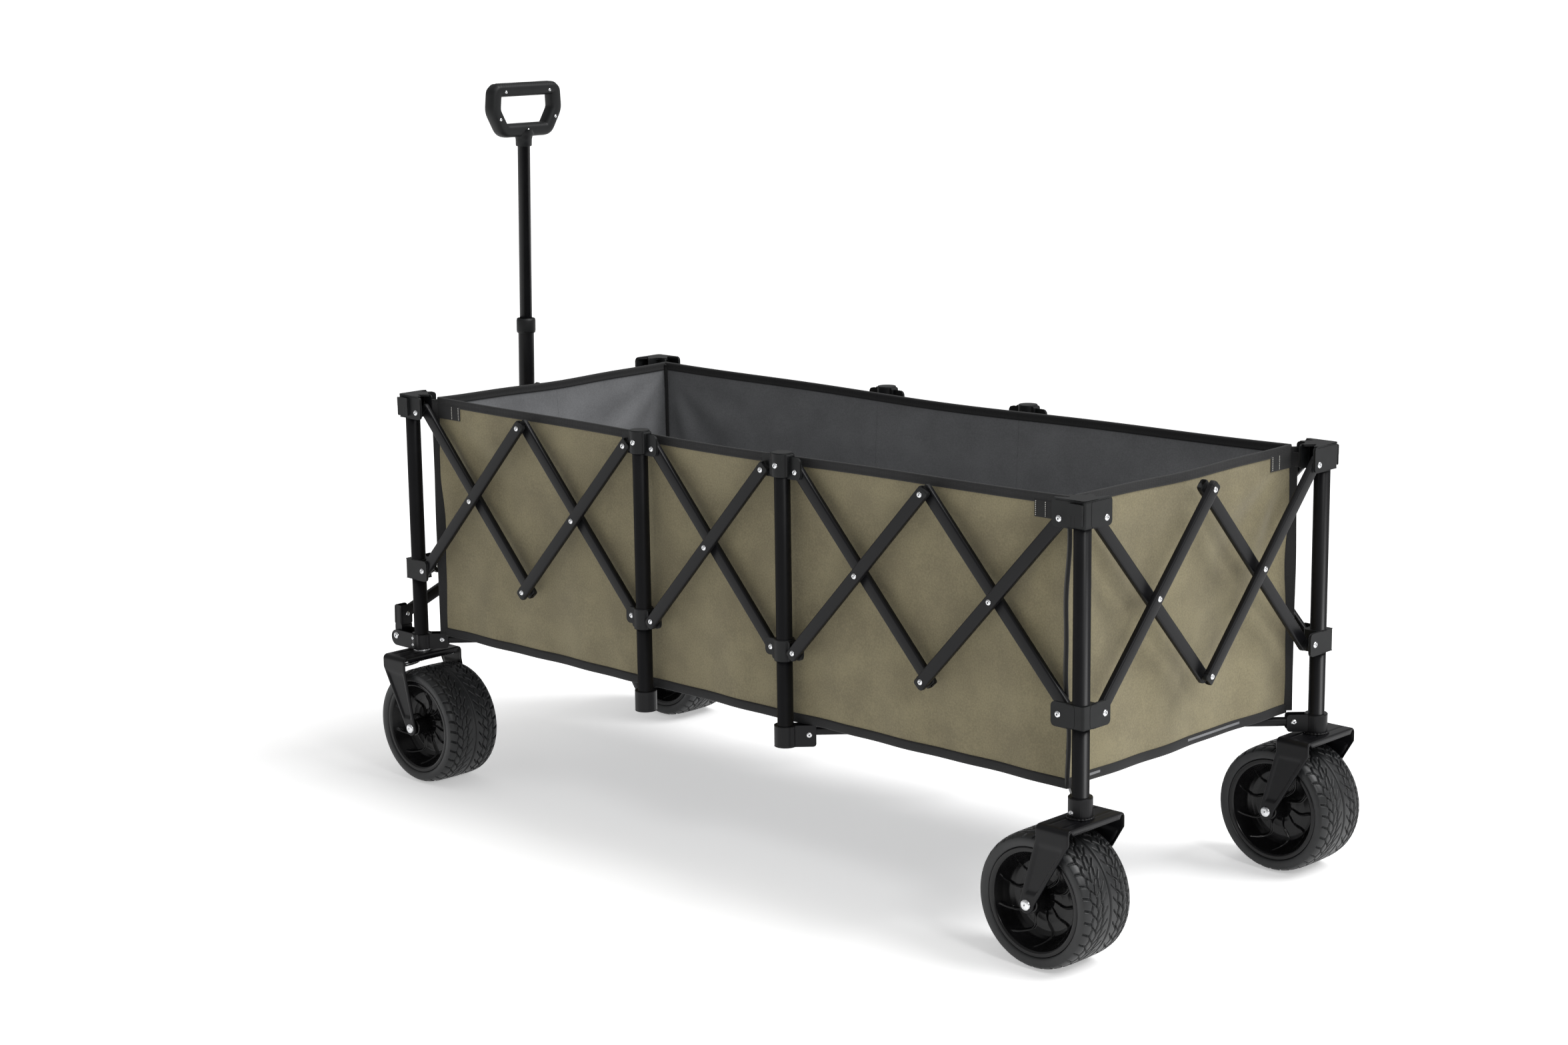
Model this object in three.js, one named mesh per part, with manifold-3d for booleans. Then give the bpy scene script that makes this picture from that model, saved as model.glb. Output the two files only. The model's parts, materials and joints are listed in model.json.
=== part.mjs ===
// Folding camp wagon: eight posts joined by crossed-bar lattices on all four sides, a fabric
// basket inside them, two swivel wheels with brakes in front, two fixed wheels behind, and a
// telescopic pull handle that tilts outwards on two arms.
//
// Units are millimetres and +Z is up. The handle end is -X, the near side is -Y, and the wheels
// stand on Z = 0. Every side is built in its own frame: +X to the right and -Y outwards, as
// someone facing that side sees it.

import * as THREE from 'three';
import { mergeVertices } from 'three/addons/utils/BufferGeometryUtils.js';
import Module from 'manifold-3d';

const wasm = await Module();
wasm.setup();

// ---------------------------------------------------------------- driving dimensions

// Crossed-bar lattice
const PITCH = 258;              // width of one cross, pivot to pivot
const TOP_PIVOT_Z = 646;        // height of the pivots in the top brackets
const SLIDER_PIVOT_Z = 369;     // height of the pivots in the sliders, wagon open
const BAR_WIDTH = 20;
const BAR_THICKNESS = 10;
const LAYER_OFFSET = 7.3;       // middle of a bar layer from the posts' plane
const OPEN_END_LENGTH = 17;     // how far back from its pivot an open end is narrowed
const OPEN_END_TIP = 2;         // how far an open end reaches past its pivot
const OPEN_END_HALF_WIDTH = 2;
const CORNER_EAR_X = 28.5;      // post axis to bar pivot on the long sides
const CORNER_EAR_Y = 32.5;      // the same on the short ends
const MID_EAR = 27.5;           // the same on the middle posts

// Posts and brackets
const POST_RADIUS = 12.5;
const POST_TOP_Z = 668;
const BRACKET_BOTTOM_Z = 622;
const BRACKET_TOP_Z = 675;
const BLOCK_HALF = 16.7;        // half width of a bracket block
const BLOCK_INNER = 14.5;       // its inner faces, on a corner
const FLANGE_THICKNESS = 4.1;
const EAR_THICKNESS = 4;
const EAR_RADIUS = 11;
const SLIDER_HEIGHT = 34;
const SLIDER_BORE_RADIUS = 13.4;
const TAB_WIDTH = 22;
const TAB_DEPTH = 5;
const TAB_HEIGHT = 30;
const TAB_INSET = 3;

// Pins: bars turn on them with running clearance
const PIN_RADIUS = 3.4;
const PIN_HOLE_RADIUS = 3.85;
const PIN_HEAD_RADIUS = 5.5;
const PIN_HEAD_HEIGHT = 2.4;
const GAP = 0.3;

// Foot of the posts
const CROWN_TOP_Z = 222;
const WASHER_HEIGHT = 3;
const FOOT_BOTTOM_Z = 226;
const FOOT_TOP_Z = 254;
const MID_POST_BOTTOM_Z = 216;
const STEM_RADIUS = 6;
const STEM_BORE_RADIUS = 6.6;
const STEM_TOP_Z = 258;
const SLEEVE_TOP_Z = 254;
const SLEEVE_RADIUS = 16;

// Wheels and forks
const WHEEL_RADIUS = 100;
const WHEEL_WIDTH = 104;
const HUB_WIDTH = 116;
const AXLE_RADIUS = 5;
const AXLE_BORE_RADIUS = 5.6;
const FORK_HALF_WIDTH = 66;
const FORK_THICKNESS = 4;
const CROWN_HALF_LENGTH = 29;
const CROWN_LIP = 12;
const FRONT_TRAIL = 40;         // swivel axis to axle
const REAR_SETBACK = -45;       // post axis to axle on the fixed wheels

// Basket and base
const BASKET_INSET_X = 42;      // post axes to the cloth
const BASKET_INSET_Y = 22;
const BASKET_BOTTOM_Z = 256;
const BASKET_TOP_Z = 660;
const BASKET_WALL = 4;
const LINK_Z = 240;
const LINK_PIN_DISTANCE = 36;   // post axis to link pivot, towards the hub
const HUB_RADIUS = 34;
const HUB_HEIGHT = 16;

// Pull handle
const TILT_DISTANCE = 50;       // corner post axis to tilt axis
const TILT_Z = 243;
const HANDLE_LEAN = THREE.MathUtils.degToRad(1.7);
const ARM_RISE = 37;            // tilt axis to the arms' outer pivots
const ARM_OUTER_Y = 2.5;        // post axis to the arms' outer pivots, inwards
const ARM_INNER_Y = 26;         // pole axis to the arms' inner pivots
const ARM_SLOPE = THREE.MathUtils.degToRad(21);
const LOWER_POLE_RADIUS = 14;
const LOWER_POLE_BORE = 11.7;
const UPPER_POLE_RADIUS = 11;
const LOWER_POLE_BOTTOM = 105;  // the next five are heights above the tilt axis
const LOWER_POLE_TOP = 530;
const UPPER_POLE_BOTTOM = 470;
const GRIP_BOTTOM = 852;
const GRIP_TOP = 948;
const GRIP_WIDTH = 165;
const GRIP_THICKNESS = 28;

// Worked out from those
const MID_X = PITCH / 2 + MID_EAR;
const CORNER_X = MID_X + MID_EAR + 2 * PITCH + CORNER_EAR_X;
const CORNER_Y = PITCH + CORNER_EAR_Y;
const CROSS_HEIGHT = TOP_PIVOT_Z - SLIDER_PIVOT_Z;
const CROSS_Z = (TOP_PIVOT_Z + SLIDER_PIVOT_Z) / 2;
const BAR_LENGTH = Math.hypot(PITCH, CROSS_HEIGHT);
const BAR_ANGLE = Math.atan2(CROSS_HEIGHT, PITCH);
const HUB_X = (CORNER_X + MID_X) / 2;
const FRONT_REACH = CORNER_X + TILT_DISTANCE + (FOOT_TOP_Z - FOOT_BOTTOM_Z) / 2;
const REAR_REACH = CORNER_X + REAR_SETBACK + WHEEL_RADIUS;

// ---------------------------------------------------------------- materials

const finish = (color, roughness, metalness) => () =>
  new THREE.MeshStandardMaterial({ color, roughness, metalness });

const powderCoat = finish(0x1b1c1d, 0.45, 0.4);
const blackPlastic = finish(0x202122, 0.5, 0);
const zincSteel = finish(0xb9bcbf, 0.3, 1);
const rubber = finish(0x2a2b2b, 0.75, 0);
const oliveCloth = finish(0x7a7158, 0.85, 0);

// ---------------------------------------------------------------- solid tools

// A closed geometry as a solid that can be joined and cut.
function solid(geometry) {
  const bare = geometry.clone();
  bare.deleteAttribute('normal');
  bare.deleteAttribute('uv');
  const merged = mergeVertices(bare, 1e-4);
  return new wasm.Manifold(new wasm.Mesh({
    numProp: 3,
    vertProperties: new Float32Array(merged.attributes.position.array),
    triVerts: new Uint32Array(merged.index.array),
  }));
}

// A solid back as a geometry with flat faces.
function geometryOf(manifold) {
  const mesh = manifold.getMesh();
  const indexed = new THREE.BufferGeometry();
  indexed.setAttribute('position', new THREE.BufferAttribute(mesh.vertProperties, 3));
  indexed.setIndex(new THREE.BufferAttribute(mesh.triVerts, 1));
  const flat = indexed.toNonIndexed();
  flat.computeVertexNormals();
  return flat;
}

function join(...geometries) {
  return geometryOf(geometries.map(solid).reduce((whole, next) => whole.add(next)));
}

function cut(geometry, ...tools) {
  return geometryOf(tools.map(solid).reduce((whole, tool) => whole.subtract(tool), solid(geometry)));
}

// A box given by its low and high corners.
function boxBetween([x0, y0, z0], [x1, y1, z1]) {
  const box = new THREE.BoxGeometry(x1 - x0, y1 - y0, z1 - z0);
  return box.translate((x0 + x1) / 2, (y0 + y1) / 2, (z0 + z1) / 2);
}

// A round rod between two points that differ along one axis.
function rodBetween(from, to, radius, sides = 10) {
  const start = new THREE.Vector3(...from);
  const end = new THREE.Vector3(...to);
  const along = new THREE.Vector3().subVectors(end, start);
  const rod = new THREE.CylinderGeometry(radius, radius, along.length(), sides);
  const turn = new THREE.Quaternion().setFromUnitVectors(
    new THREE.Vector3(0, 1, 0),
    along.clone().normalize(),
  );
  rod.applyQuaternion(turn);
  return rod.translate(...start.add(end).multiplyScalar(0.5));
}

// An outline in X and Z, given thickness from y0 to y1.
function plateXZ(shape, y0, y1, curveSegments = 6) {
  const plate = new THREE.ExtrudeGeometry(shape, {
    depth: y1 - y0, bevelEnabled: false, curveSegments,
  });
  return plate.rotateX(Math.PI / 2).translate(0, y1, 0);
}

// An outline in X and Y, raised from z0 to z1.
function plateXY(shape, z0, z1, curveSegments = 6) {
  const plate = new THREE.ExtrudeGeometry(shape, {
    depth: z1 - z0, bevelEnabled: false, curveSegments,
  });
  return plate.translate(0, 0, z0);
}

function circlePath(x, y, radius) {
  return new THREE.Path().absarc(x, y, radius, 0, 2 * Math.PI, false);
}

// A strip with round ends, from one pivot to another, with holes at the given points.
function stripShape(x0, x1, width, holes) {
  const radius = width / 2;
  const shape = new THREE.Shape();
  shape.absarc(x1, 0, radius, -Math.PI / 2, Math.PI / 2, false);
  shape.absarc(x0, 0, radius, Math.PI / 2, 1.5 * Math.PI, false);
  holes.forEach((x) => shape.holes.push(circlePath(x, 0, PIN_HOLE_RADIUS)));
  return shape;
}

function piece(name, geometry, material, parent) {
  const mesh = new THREE.Mesh(geometry, material());
  mesh.name = name;
  parent.add(mesh);
  return mesh;
}

// ---------------------------------------------------------------- lattice bars

// The rising bar "/" lies in the outer layer and has three holes. The falling bar "\" lies in
// the inner layer and carries the centre pin, which passes out through the rising bar.
function barGeometry(layer, open = false) {
  const half = BAR_LENGTH / 2;
  const inner = layer > 0;
  const holes = (inner ? [-half, half] : [-half, 0, half]).filter((x) => !open || x < half);
  const shape = stripShape(-half, half, BAR_WIDTH, holes);
  const whole = plateXZ(shape, -BAR_THICKNESS / 2, BAR_THICKNESS / 2, 5);
  const strip = open ? cut(whole, ...openEndCuts(half, inner)) : whole;
  if (!inner) return strip;
  const outerFace = -2 * LAYER_OFFSET - BAR_THICKNESS / 2;
  const headStart = outerFace - GAP;
  const pin = rodBetween([0, 0, 0], [0, headStart - 0.5, 0], PIN_RADIUS);
  const head = rodBetween([0, headStart, 0], [0, headStart - PIN_HEAD_HEIGHT, 0], PIN_HEAD_RADIUS);
  return join(strip, pin, head);
}

// What is cut off an open end: its tip, and the edge that faces the post. The end then clears
// the post's sleeve halfway through the fold.
function openEndCuts(half, inner) {
  const edge = inner ? [OPEN_END_HALF_WIDTH, BAR_WIDTH] : [-BAR_WIDTH, -OPEN_END_HALF_WIDTH];
  const past = half + BAR_WIDTH;
  return [
    boxBetween([half - OPEN_END_LENGTH, -BAR_THICKNESS, edge[0]], [past, BAR_THICKNESS, edge[1]]),
    boxBetween([half + OPEN_END_TIP, -BAR_THICKNESS, -BAR_WIDTH], [past, BAR_THICKNESS, BAR_WIDTH]),
  ];
}

const bars = {
  closed: { rising: barGeometry(-1), falling: barGeometry(1) },
  open: { rising: barGeometry(-1, true), falling: barGeometry(1, true) },
};

// One cross, its middle at x in the side's frame. An open cross has no pins at its right end.
function addCross(side, name, x, open) {
  const shapes = open ? bars.open : bars.closed;
  const rising = piece(`${name}_rising`, shapes.rising, powderCoat, side);
  rising.position.set(x, -LAYER_OFFSET, CROSS_Z);
  rising.rotation.y = -BAR_ANGLE;
  const falling = piece(`${name}_falling`, shapes.falling, powderCoat, side);
  falling.position.set(x, LAYER_OFFSET, CROSS_Z);
  falling.rotation.y = BAR_ANGLE;
}

// A lattice side: its frame is turned about Z and pushed out to the posts' plane.
function addSide(wagon, name, turn, distance, centres) {
  const side = new THREE.Group();
  side.rotation.z = turn;
  side.position.set(distance * Math.sin(turn), -distance * Math.cos(turn), 0);
  const middle = (centres.length - 1) / 2;
  centres.forEach((x, index) => addCross(side, `${name}_bar_${index + 1}`, x, index === middle));
  wagon.add(side);
}

// ---------------------------------------------------------------- brackets

// Outline of a corner block with its two flanges. The post's axis is the origin, and sx and sy
// point towards the wagon's middle. The outer corner is rounded.
function cornerOutline(sx, sy) {
  const round = 6;
  const b = BLOCK_HALF;
  const inner = -b + FLANGE_THICKNESS;
  const endX = CORNER_EAR_X + EAR_RADIUS;
  const endY = CORNER_EAR_Y + EAR_RADIUS;
  const shape = new THREE.Shape();
  const to = (x, y) => shape.lineTo(sx * x, sy * y);
  shape.moveTo(sx * (-b + round), sy * -b);
  to(endX, -b);
  to(endX, inner);
  to(BLOCK_INNER, inner);
  to(BLOCK_INNER, BLOCK_INNER);
  to(inner, BLOCK_INNER);
  to(inner, endY);
  to(-b, endY);
  to(-b, -b + round);
  shape.quadraticCurveTo(sx * -b, sy * -b, sx * (-b + round), sy * -b);
  return shape;
}

// A pin from a corner flange to a bar. alongX says which flange, and layer is -1 for the outer
// bars and 1 for the inner ones. u runs along the side towards the middle, v points inwards.
function cornerPin(sx, sy, alongX, layer, z) {
  const start = -BLOCK_HALF + FLANGE_THICKNESS / 2;
  const end = layer < 0 ? -2 * GAP - LAYER_OFFSET + BAR_THICKNESS / 2 : LAYER_OFFSET + 4;
  const ear = alongX ? CORNER_EAR_X : CORNER_EAR_Y;
  const point = (v) => (alongX ? [sx * ear, sy * v, z] : [sx * v, sy * ear, z]);
  return rodBetween(point(start), point(end), PIN_RADIUS);
}

// A flat ear in the posts' plane, reaching out both ways along X.
function midEars(z0, z1) {
  const reach = MID_EAR + EAR_RADIUS;
  return boxBetween([-reach, -EAR_THICKNESS / 2, z0], [reach, EAR_THICKNESS / 2, z1]);
}

// A headed pin from a middle ear through one bar. u is the pivot along the side, and out is the
// world direction of the outside, 1 or -1 along Y.
function midPin(u, out, layer, z) {
  const away = layer < 0 ? out : -out;
  const face = LAYER_OFFSET + BAR_THICKNESS / 2 + GAP;
  const pin = rodBetween([u, 0, z], [u, away * (face + 0.5), z], PIN_RADIUS);
  const head = rodBetween([u, away * face, z], [u, away * (face + PIN_HEAD_HEIGHT), z], PIN_HEAD_RADIUS);
  return [pin, head];
}

function block(z0, z1) {
  return boxBetween([-BLOCK_HALF, -BLOCK_HALF, z0], [BLOCK_HALF, BLOCK_HALF, z1]);
}

// An ear on a post's foot that points at the base hub and holds the end of a base link.
function linkEar(dx, dy, z0, z1) {
  const ear = boxBetween([0, -EAR_THICKNESS / 2, z0], [LINK_PIN_DISTANCE + 6, EAR_THICKNESS / 2, z1]);
  return ear.rotateZ(Math.atan2(dy, dx));
}

// ---------------------------------------------------------------- posts

function postTube(bottom) {
  return rodBetween([0, 0, bottom], [0, 0, POST_TOP_Z], POST_RADIUS, 16);
}

// The raised tab on the long-side face of a corner's top bracket, with two upright slots.
function bracketTab(sx, sy) {
  const middle = (BRACKET_BOTTOM_Z + BRACKET_TOP_Z) / 2;
  const centre = sx * TAB_INSET;
  const outer = -sy * (BLOCK_HALF + TAB_DEPTH);
  const root = -sy * (BLOCK_HALF - 1);
  const low = [centre - TAB_WIDTH / 2, Math.min(outer, root), middle - TAB_HEIGHT / 2];
  const high = [centre + TAB_WIDTH / 2, Math.max(outer, root), middle + TAB_HEIGHT / 2];
  const slots = [-4, 4].map((x) => boxBetween(
    [centre + x - 1.2, outer - 2, middle - 9],
    [centre + x + 1.2, outer + 2, middle + 9],
  ));
  return cut(boxBetween(low, high), ...slots);
}

function cornerTopBracket(sx, sy, longLayer, endLayer) {
  return [
    plateXY(cornerOutline(sx, sy), BRACKET_BOTTOM_Z, BRACKET_TOP_Z, 3),
    cornerPin(sx, sy, true, longLayer, TOP_PIVOT_Z),
    cornerPin(sx, sy, false, endLayer, TOP_PIVOT_Z),
    bracketTab(sx, sy),
  ];
}

// Twin plates on a front post's foot. They hold the handle's tilt pin between them.
function handlePlates() {
  const shape = new THREE.Shape();
  const middle = (FOOT_BOTTOM_Z + FOOT_TOP_Z) / 2;
  const radius = (FOOT_TOP_Z - FOOT_BOTTOM_Z) / 2;
  shape.moveTo(BLOCK_HALF, FOOT_BOTTOM_Z);
  shape.lineTo(BLOCK_HALF, FOOT_TOP_Z);
  shape.absarc(-TILT_DISTANCE, middle, radius, Math.PI / 2, 1.5 * Math.PI, false);
  const outer = BLOCK_HALF;
  const inner = BLOCK_HALF - 3.6;
  return [
    plateXZ(shape, -outer, -inner),
    plateXZ(shape, inner, outer),
    rodBetween([-TILT_DISTANCE, -outer + 1, TILT_Z], [-TILT_DISTANCE, outer - 1, TILT_Z], PIN_RADIUS),
  ];
}

// An inverted U: a lipped crown and two arms that taper down to the axle at x = offset. The
// upright axis through the crown is the origin.
function forkParts(offset) {
  const w = FORK_HALF_WIDTH;
  const l = CROWN_HALF_LENGTH;
  const armRadius = 13;
  const arm = new THREE.Shape();
  arm.moveTo(l, CROWN_TOP_Z - 22);
  arm.lineTo(l, CROWN_TOP_Z);
  arm.lineTo(-l, CROWN_TOP_Z);
  arm.lineTo(-l, CROWN_TOP_Z - 22);
  const slant = offset > 0 ? 0.1 : -0.1;
  arm.absarc(offset, WHEEL_RADIUS, armRadius, Math.PI + slant * 3, 2 * Math.PI + slant * 3, false);
  const head = w + 3.5;
  return [
    boxBetween([-l, -w, CROWN_TOP_Z - 4], [l, w, CROWN_TOP_Z]),
    boxBetween([-l, -w, CROWN_TOP_Z - CROWN_LIP], [-l + 3, w, CROWN_TOP_Z]),
    boxBetween([l - 3, -w, CROWN_TOP_Z - CROWN_LIP], [l, w, CROWN_TOP_Z]),
    plateXZ(arm, -w, -w + FORK_THICKNESS, 5),
    plateXZ(arm, w - FORK_THICKNESS, w, 5),
    rodBetween([offset, -w, WHEEL_RADIUS], [offset, w, WHEEL_RADIUS], AXLE_RADIUS),
    rodBetween([offset, -head, WHEEL_RADIUS], [offset, -w + 1, WHEEL_RADIUS], 8),
    rodBetween([offset, w - 1, WHEEL_RADIUS], [offset, head, WHEEL_RADIUS], 8),
  ];
}

// A front corner post, with the plates of the pull handle and a bore for the caster's stem.
function frontPost(sy) {
  const [longLayer, endLayer] = sy > 0 ? [1, -1] : [-1, 1];
  const bottom = CROWN_TOP_Z + WASHER_HEIGHT + GAP;
  const post = join(
    postTube(bottom),
    ...cornerTopBracket(1, sy, longLayer, endLayer),
    ...handlePlates(),
    block(FOOT_BOTTOM_Z, FOOT_TOP_Z),
    linkEar(HUB_X - MID_X, sy * CORNER_Y, FOOT_BOTTOM_Z, FOOT_TOP_Z),
  );
  return cut(post, rodBetween([0, 0, bottom - 1], [0, 0, STEM_TOP_Z + 4], STEM_BORE_RADIUS));
}

// A rear corner post, with its sleeve and the fork that is welded to it.
function rearPost(sy) {
  const [longLayer, endLayer] = sy > 0 ? [-1, 1] : [1, -1];
  return join(
    postTube(CROWN_TOP_Z - 2),
    ...cornerTopBracket(-1, sy, longLayer, endLayer),
    rodBetween([0, 0, CROWN_TOP_Z - 2], [0, 0, SLEEVE_TOP_Z], SLEEVE_RADIUS, 16),
    linkEar(MID_X - HUB_X, sy * CORNER_Y, FOOT_BOTTOM_Z, FOOT_TOP_Z),
    ...forkParts(REAR_SETBACK),
  );
}

// A middle post. sx is the side of the wagon's middle that it stands on, sy points inwards, and
// pins are listed as [direction along X, layer] for its top bracket.
function midPost(sx, sy, pins) {
  const out = -sy;
  const footTop = FOOT_TOP_Z - 4;
  return join(
    postTube(MID_POST_BOTTOM_Z),
    block(BRACKET_BOTTOM_Z, BRACKET_TOP_Z),
    midEars(BRACKET_BOTTOM_Z + 12, BRACKET_TOP_Z - 16),
    ...pins.flatMap(([u, layer]) => midPin(u * MID_EAR, out, layer, TOP_PIVOT_Z)),
    block(MID_POST_BOTTOM_Z, footTop),
    linkEar(sx * (HUB_X - MID_X), sy * CORNER_Y, FOOT_BOTTOM_Z, footTop),
  );
}

// ---------------------------------------------------------------- sliders

function boreTool(z) {
  const reach = SLIDER_HEIGHT;
  return rodBetween([0, 0, z - reach], [0, 0, z + reach], SLIDER_BORE_RADIUS, 16);
}

function cornerSlider(sx, sy, longLayer) {
  const z = SLIDER_PIVOT_Z;
  const half = SLIDER_HEIGHT / 2;
  const body = join(
    plateXY(cornerOutline(sx, sy), z - half, z + half, 3),
    cornerPin(sx, sy, true, longLayer, z),
  );
  return cut(body, boreTool(z));
}

function midSlider(sy, u, layer) {
  const z = SLIDER_PIVOT_Z;
  const half = SLIDER_HEIGHT / 2;
  const body = join(
    block(z - half, z + half),
    midEars(z - EAR_RADIUS, z + EAR_RADIUS),
    ...midPin(u * MID_EAR, -sy, layer, z),
  );
  return cut(body, boreTool(z));
}

// ---------------------------------------------------------------- wheels and casters

// Wheel with its tyre: a broad tread, a dished rim and a hub bored for the axle.
function wheelGeometry() {
  const half = WHEEL_WIDTH / 2;
  const side = [
    [AXLE_BORE_RADIUS, HUB_WIDTH / 2],
    [17, HUB_WIDTH / 2],
    [20, 18],
    [56, 14],
    [72, half - 4],
    [94, half],
    [WHEEL_RADIUS, half - 8],
  ];
  const lower = side.map(([r, y]) => new THREE.Vector2(r, -y));
  const upper = side.map(([r, y]) => new THREE.Vector2(r, y)).reverse();
  const profile = [...lower, ...upper, lower[0].clone()];
  return new THREE.LatheGeometry(profile, 24);
}

function casterGeometry() {
  return join(
    ...forkParts(FRONT_TRAIL),
    rodBetween([0, 0, CROWN_TOP_Z - 1], [0, 0, CROWN_TOP_Z + WASHER_HEIGHT], 15, 12),
    rodBetween([0, 0, CROWN_TOP_Z], [0, 0, STEM_TOP_Z], STEM_RADIUS),
  );
}

// Brake pedal under the crown: a barrel between the fork's arms and a plate that slopes out in
// front of the wheel. The barrel's axis is the origin.
const BRAKE_PIVOT = [8, 209];
function brakeGeometry() {
  const reach = FORK_HALF_WIDTH - FORK_THICKNESS - GAP;
  const slope = THREE.MathUtils.degToRad(22);
  const pedal = boxBetween([-66, -16, -1.6], [0, 16, 1.6]).rotateY(-slope);
  return join(rodBetween([0, -reach, 0], [0, reach, 0], 4), pedal);
}

// ---------------------------------------------------------------- basket and base

// The cloth basket: a thin-walled box, open at the top, hung inside the posts.
function basketGeometry() {
  const x = CORNER_X - BASKET_INSET_X;
  const y = CORNER_Y - BASKET_INSET_Y;
  const t = BASKET_WALL;
  const outer = boxBetween([-x, -y, BASKET_BOTTOM_Z], [x, y, BASKET_TOP_Z]);
  const inner = boxBetween([t - x, t - y, BASKET_BOTTOM_Z + t], [x - t, y - t, BASKET_TOP_Z + 5]);
  return cut(outer, inner);
}

// A base unit: a hub with four flat links that reach out to two corner posts and two middle
// posts. The hub's axis is the origin, and side is -1 at the handle end and 1 at the other.
function baseGeometry(side) {
  const links = [[1, 1], [1, -1], [-1, 1], [-1, -1]].map(([sx, sy]) => {
    const distance = Math.hypot(CORNER_X - HUB_X, CORNER_Y);
    const length = distance - LINK_PIN_DISTANCE - 7;
    const link = boxBetween([0, -9, LINK_Z - 6], [length, 9, LINK_Z + 6]);
    return link.rotateZ(Math.atan2(sy * CORNER_Y, sx * side * (CORNER_X - HUB_X)));
  });
  const hub = rodBetween([0, 0, LINK_Z - HUB_HEIGHT / 2], [0, 0, LINK_Z + HUB_HEIGHT / 2 - 1], HUB_RADIUS, 16);
  return join(hub, ...links);
}

// ---------------------------------------------------------------- pull handle

// The bracket on the near tilt pin: a foot between the post's plates and an open channel above
// it that holds an arm. The tilt axis is the origin.
function armBracketGeometry() {
  const depth = 12.2;
  const wall = 3;
  const inside = BAR_THICKNESS / 2 + 0.8;
  const bottom = 19;
  const top = ARM_RISE + 14;
  const foot = cut(
    boxBetween([-inside - wall, -depth, -9], [inside + wall, depth, bottom + 1]),
    rodBetween([0, -20, 0], [0, 20, 0], PIN_HOLE_RADIUS),
  );
  return join(
    foot,
    boxBetween([-inside - wall, -depth, bottom], [-inside, depth, top]),
    boxBetween([inside, -depth, bottom], [inside + wall, depth, top]),
    boxBetween([-inside - wall, -depth, bottom], [inside + wall, -depth + wall, top]),
    rodBetween([-inside - 1, ARM_OUTER_Y, ARM_RISE], [inside + 1, ARM_OUTER_Y, ARM_RISE], PIN_RADIUS),
  );
}

const ARM_SPAN = CORNER_Y - ARM_OUTER_Y - ARM_INNER_Y;
const ARM_LENGTH = ARM_SPAN / Math.cos(ARM_SLOPE);
const ARM_INNER_Z = ARM_RISE + ARM_SPAN * Math.tan(ARM_SLOPE);

// An arm lies in Y and Z and turns about X. Its outer pivot is the origin.
function armGeometry() {
  const shape = stripShape(0, ARM_LENGTH, BAR_WIDTH - 2, [0, ARM_LENGTH]);
  const half = BAR_THICKNESS / 2;
  return plateXZ(shape, -half, half).rotateZ(Math.PI / 2);
}

// The lower pole: a tube with a blind bore, a collar at its mouth, and a cross plate with pins
// for the two arms. Its base point on the tilt axis is the origin.
function lowerPoleGeometry() {
  const profile = [
    [0, LOWER_POLE_BOTTOM],
    [LOWER_POLE_RADIUS, LOWER_POLE_BOTTOM],
    [LOWER_POLE_RADIUS, LOWER_POLE_TOP - 26],
    [LOWER_POLE_RADIUS + 3, LOWER_POLE_TOP - 24],
    [LOWER_POLE_RADIUS + 3, LOWER_POLE_TOP],
    [LOWER_POLE_BORE, LOWER_POLE_TOP],
    [LOWER_POLE_BORE, LOWER_POLE_BOTTOM + 55],
    [0, LOWER_POLE_BOTTOM + 55],
  ].map(([r, z]) => new THREE.Vector2(r, z));
  const tube = new THREE.LatheGeometry(profile, 16).rotateX(Math.PI / 2);
  const face = BAR_THICKNESS / 2 + GAP;
  const plate = boxBetween([face, -36, ARM_INNER_Z - 16], [face + 4, 36, ARM_INNER_Z + 16]);
  const pins = [-ARM_INNER_Y, ARM_INNER_Y].map(
    (y) => rodBetween([face + 1, y, ARM_INNER_Z], [-face - 3, y, ARM_INNER_Z], PIN_RADIUS),
  );
  const heads = [-ARM_INNER_Y, ARM_INNER_Y].map(
    (y) => rodBetween([-face, y, ARM_INNER_Z], [-face - 2.4, y, ARM_INNER_Z], PIN_HEAD_RADIUS),
  );
  return join(tube, plate, ...pins, ...heads);
}

// The upper pole with its closed grip. The grip is an oval ring with flat ends and a socket.
function upperPoleGeometry() {
  const middle = (GRIP_BOTTOM + GRIP_TOP) / 2;
  const halfHeight = (GRIP_TOP - GRIP_BOTTOM) / 2;
  const halfWidth = GRIP_WIDTH / 2;
  const rounded = (w, h, r, path) => {
    path.absarc(w - r, middle + h - r, r, 0, Math.PI / 2, false);
    path.absarc(-w + r, middle + h - r, r, Math.PI / 2, Math.PI, false);
    path.absarc(-w + r, middle - h + r, r, Math.PI, 1.5 * Math.PI, false);
    path.absarc(w - r, middle - h + r, r, 1.5 * Math.PI, 2 * Math.PI, false);
    return path;
  };
  const outline = rounded(halfWidth, halfHeight, 34, new THREE.Shape());
  outline.holes.push(rounded(halfWidth - 25, halfHeight - 26, 18, new THREE.Path()));
  const ring = plateXZ(outline, -GRIP_THICKNESS / 2, GRIP_THICKNESS / 2).rotateZ(Math.PI / 2);
  return join(
    ring,
    rodBetween([0, 0, UPPER_POLE_BOTTOM], [0, 0, GRIP_BOTTOM + 12], UPPER_POLE_RADIUS, 16),
    rodBetween([0, 0, GRIP_BOTTOM - 16], [0, 0, GRIP_BOTTOM + 6], 14, 16),
  );
}

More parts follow.
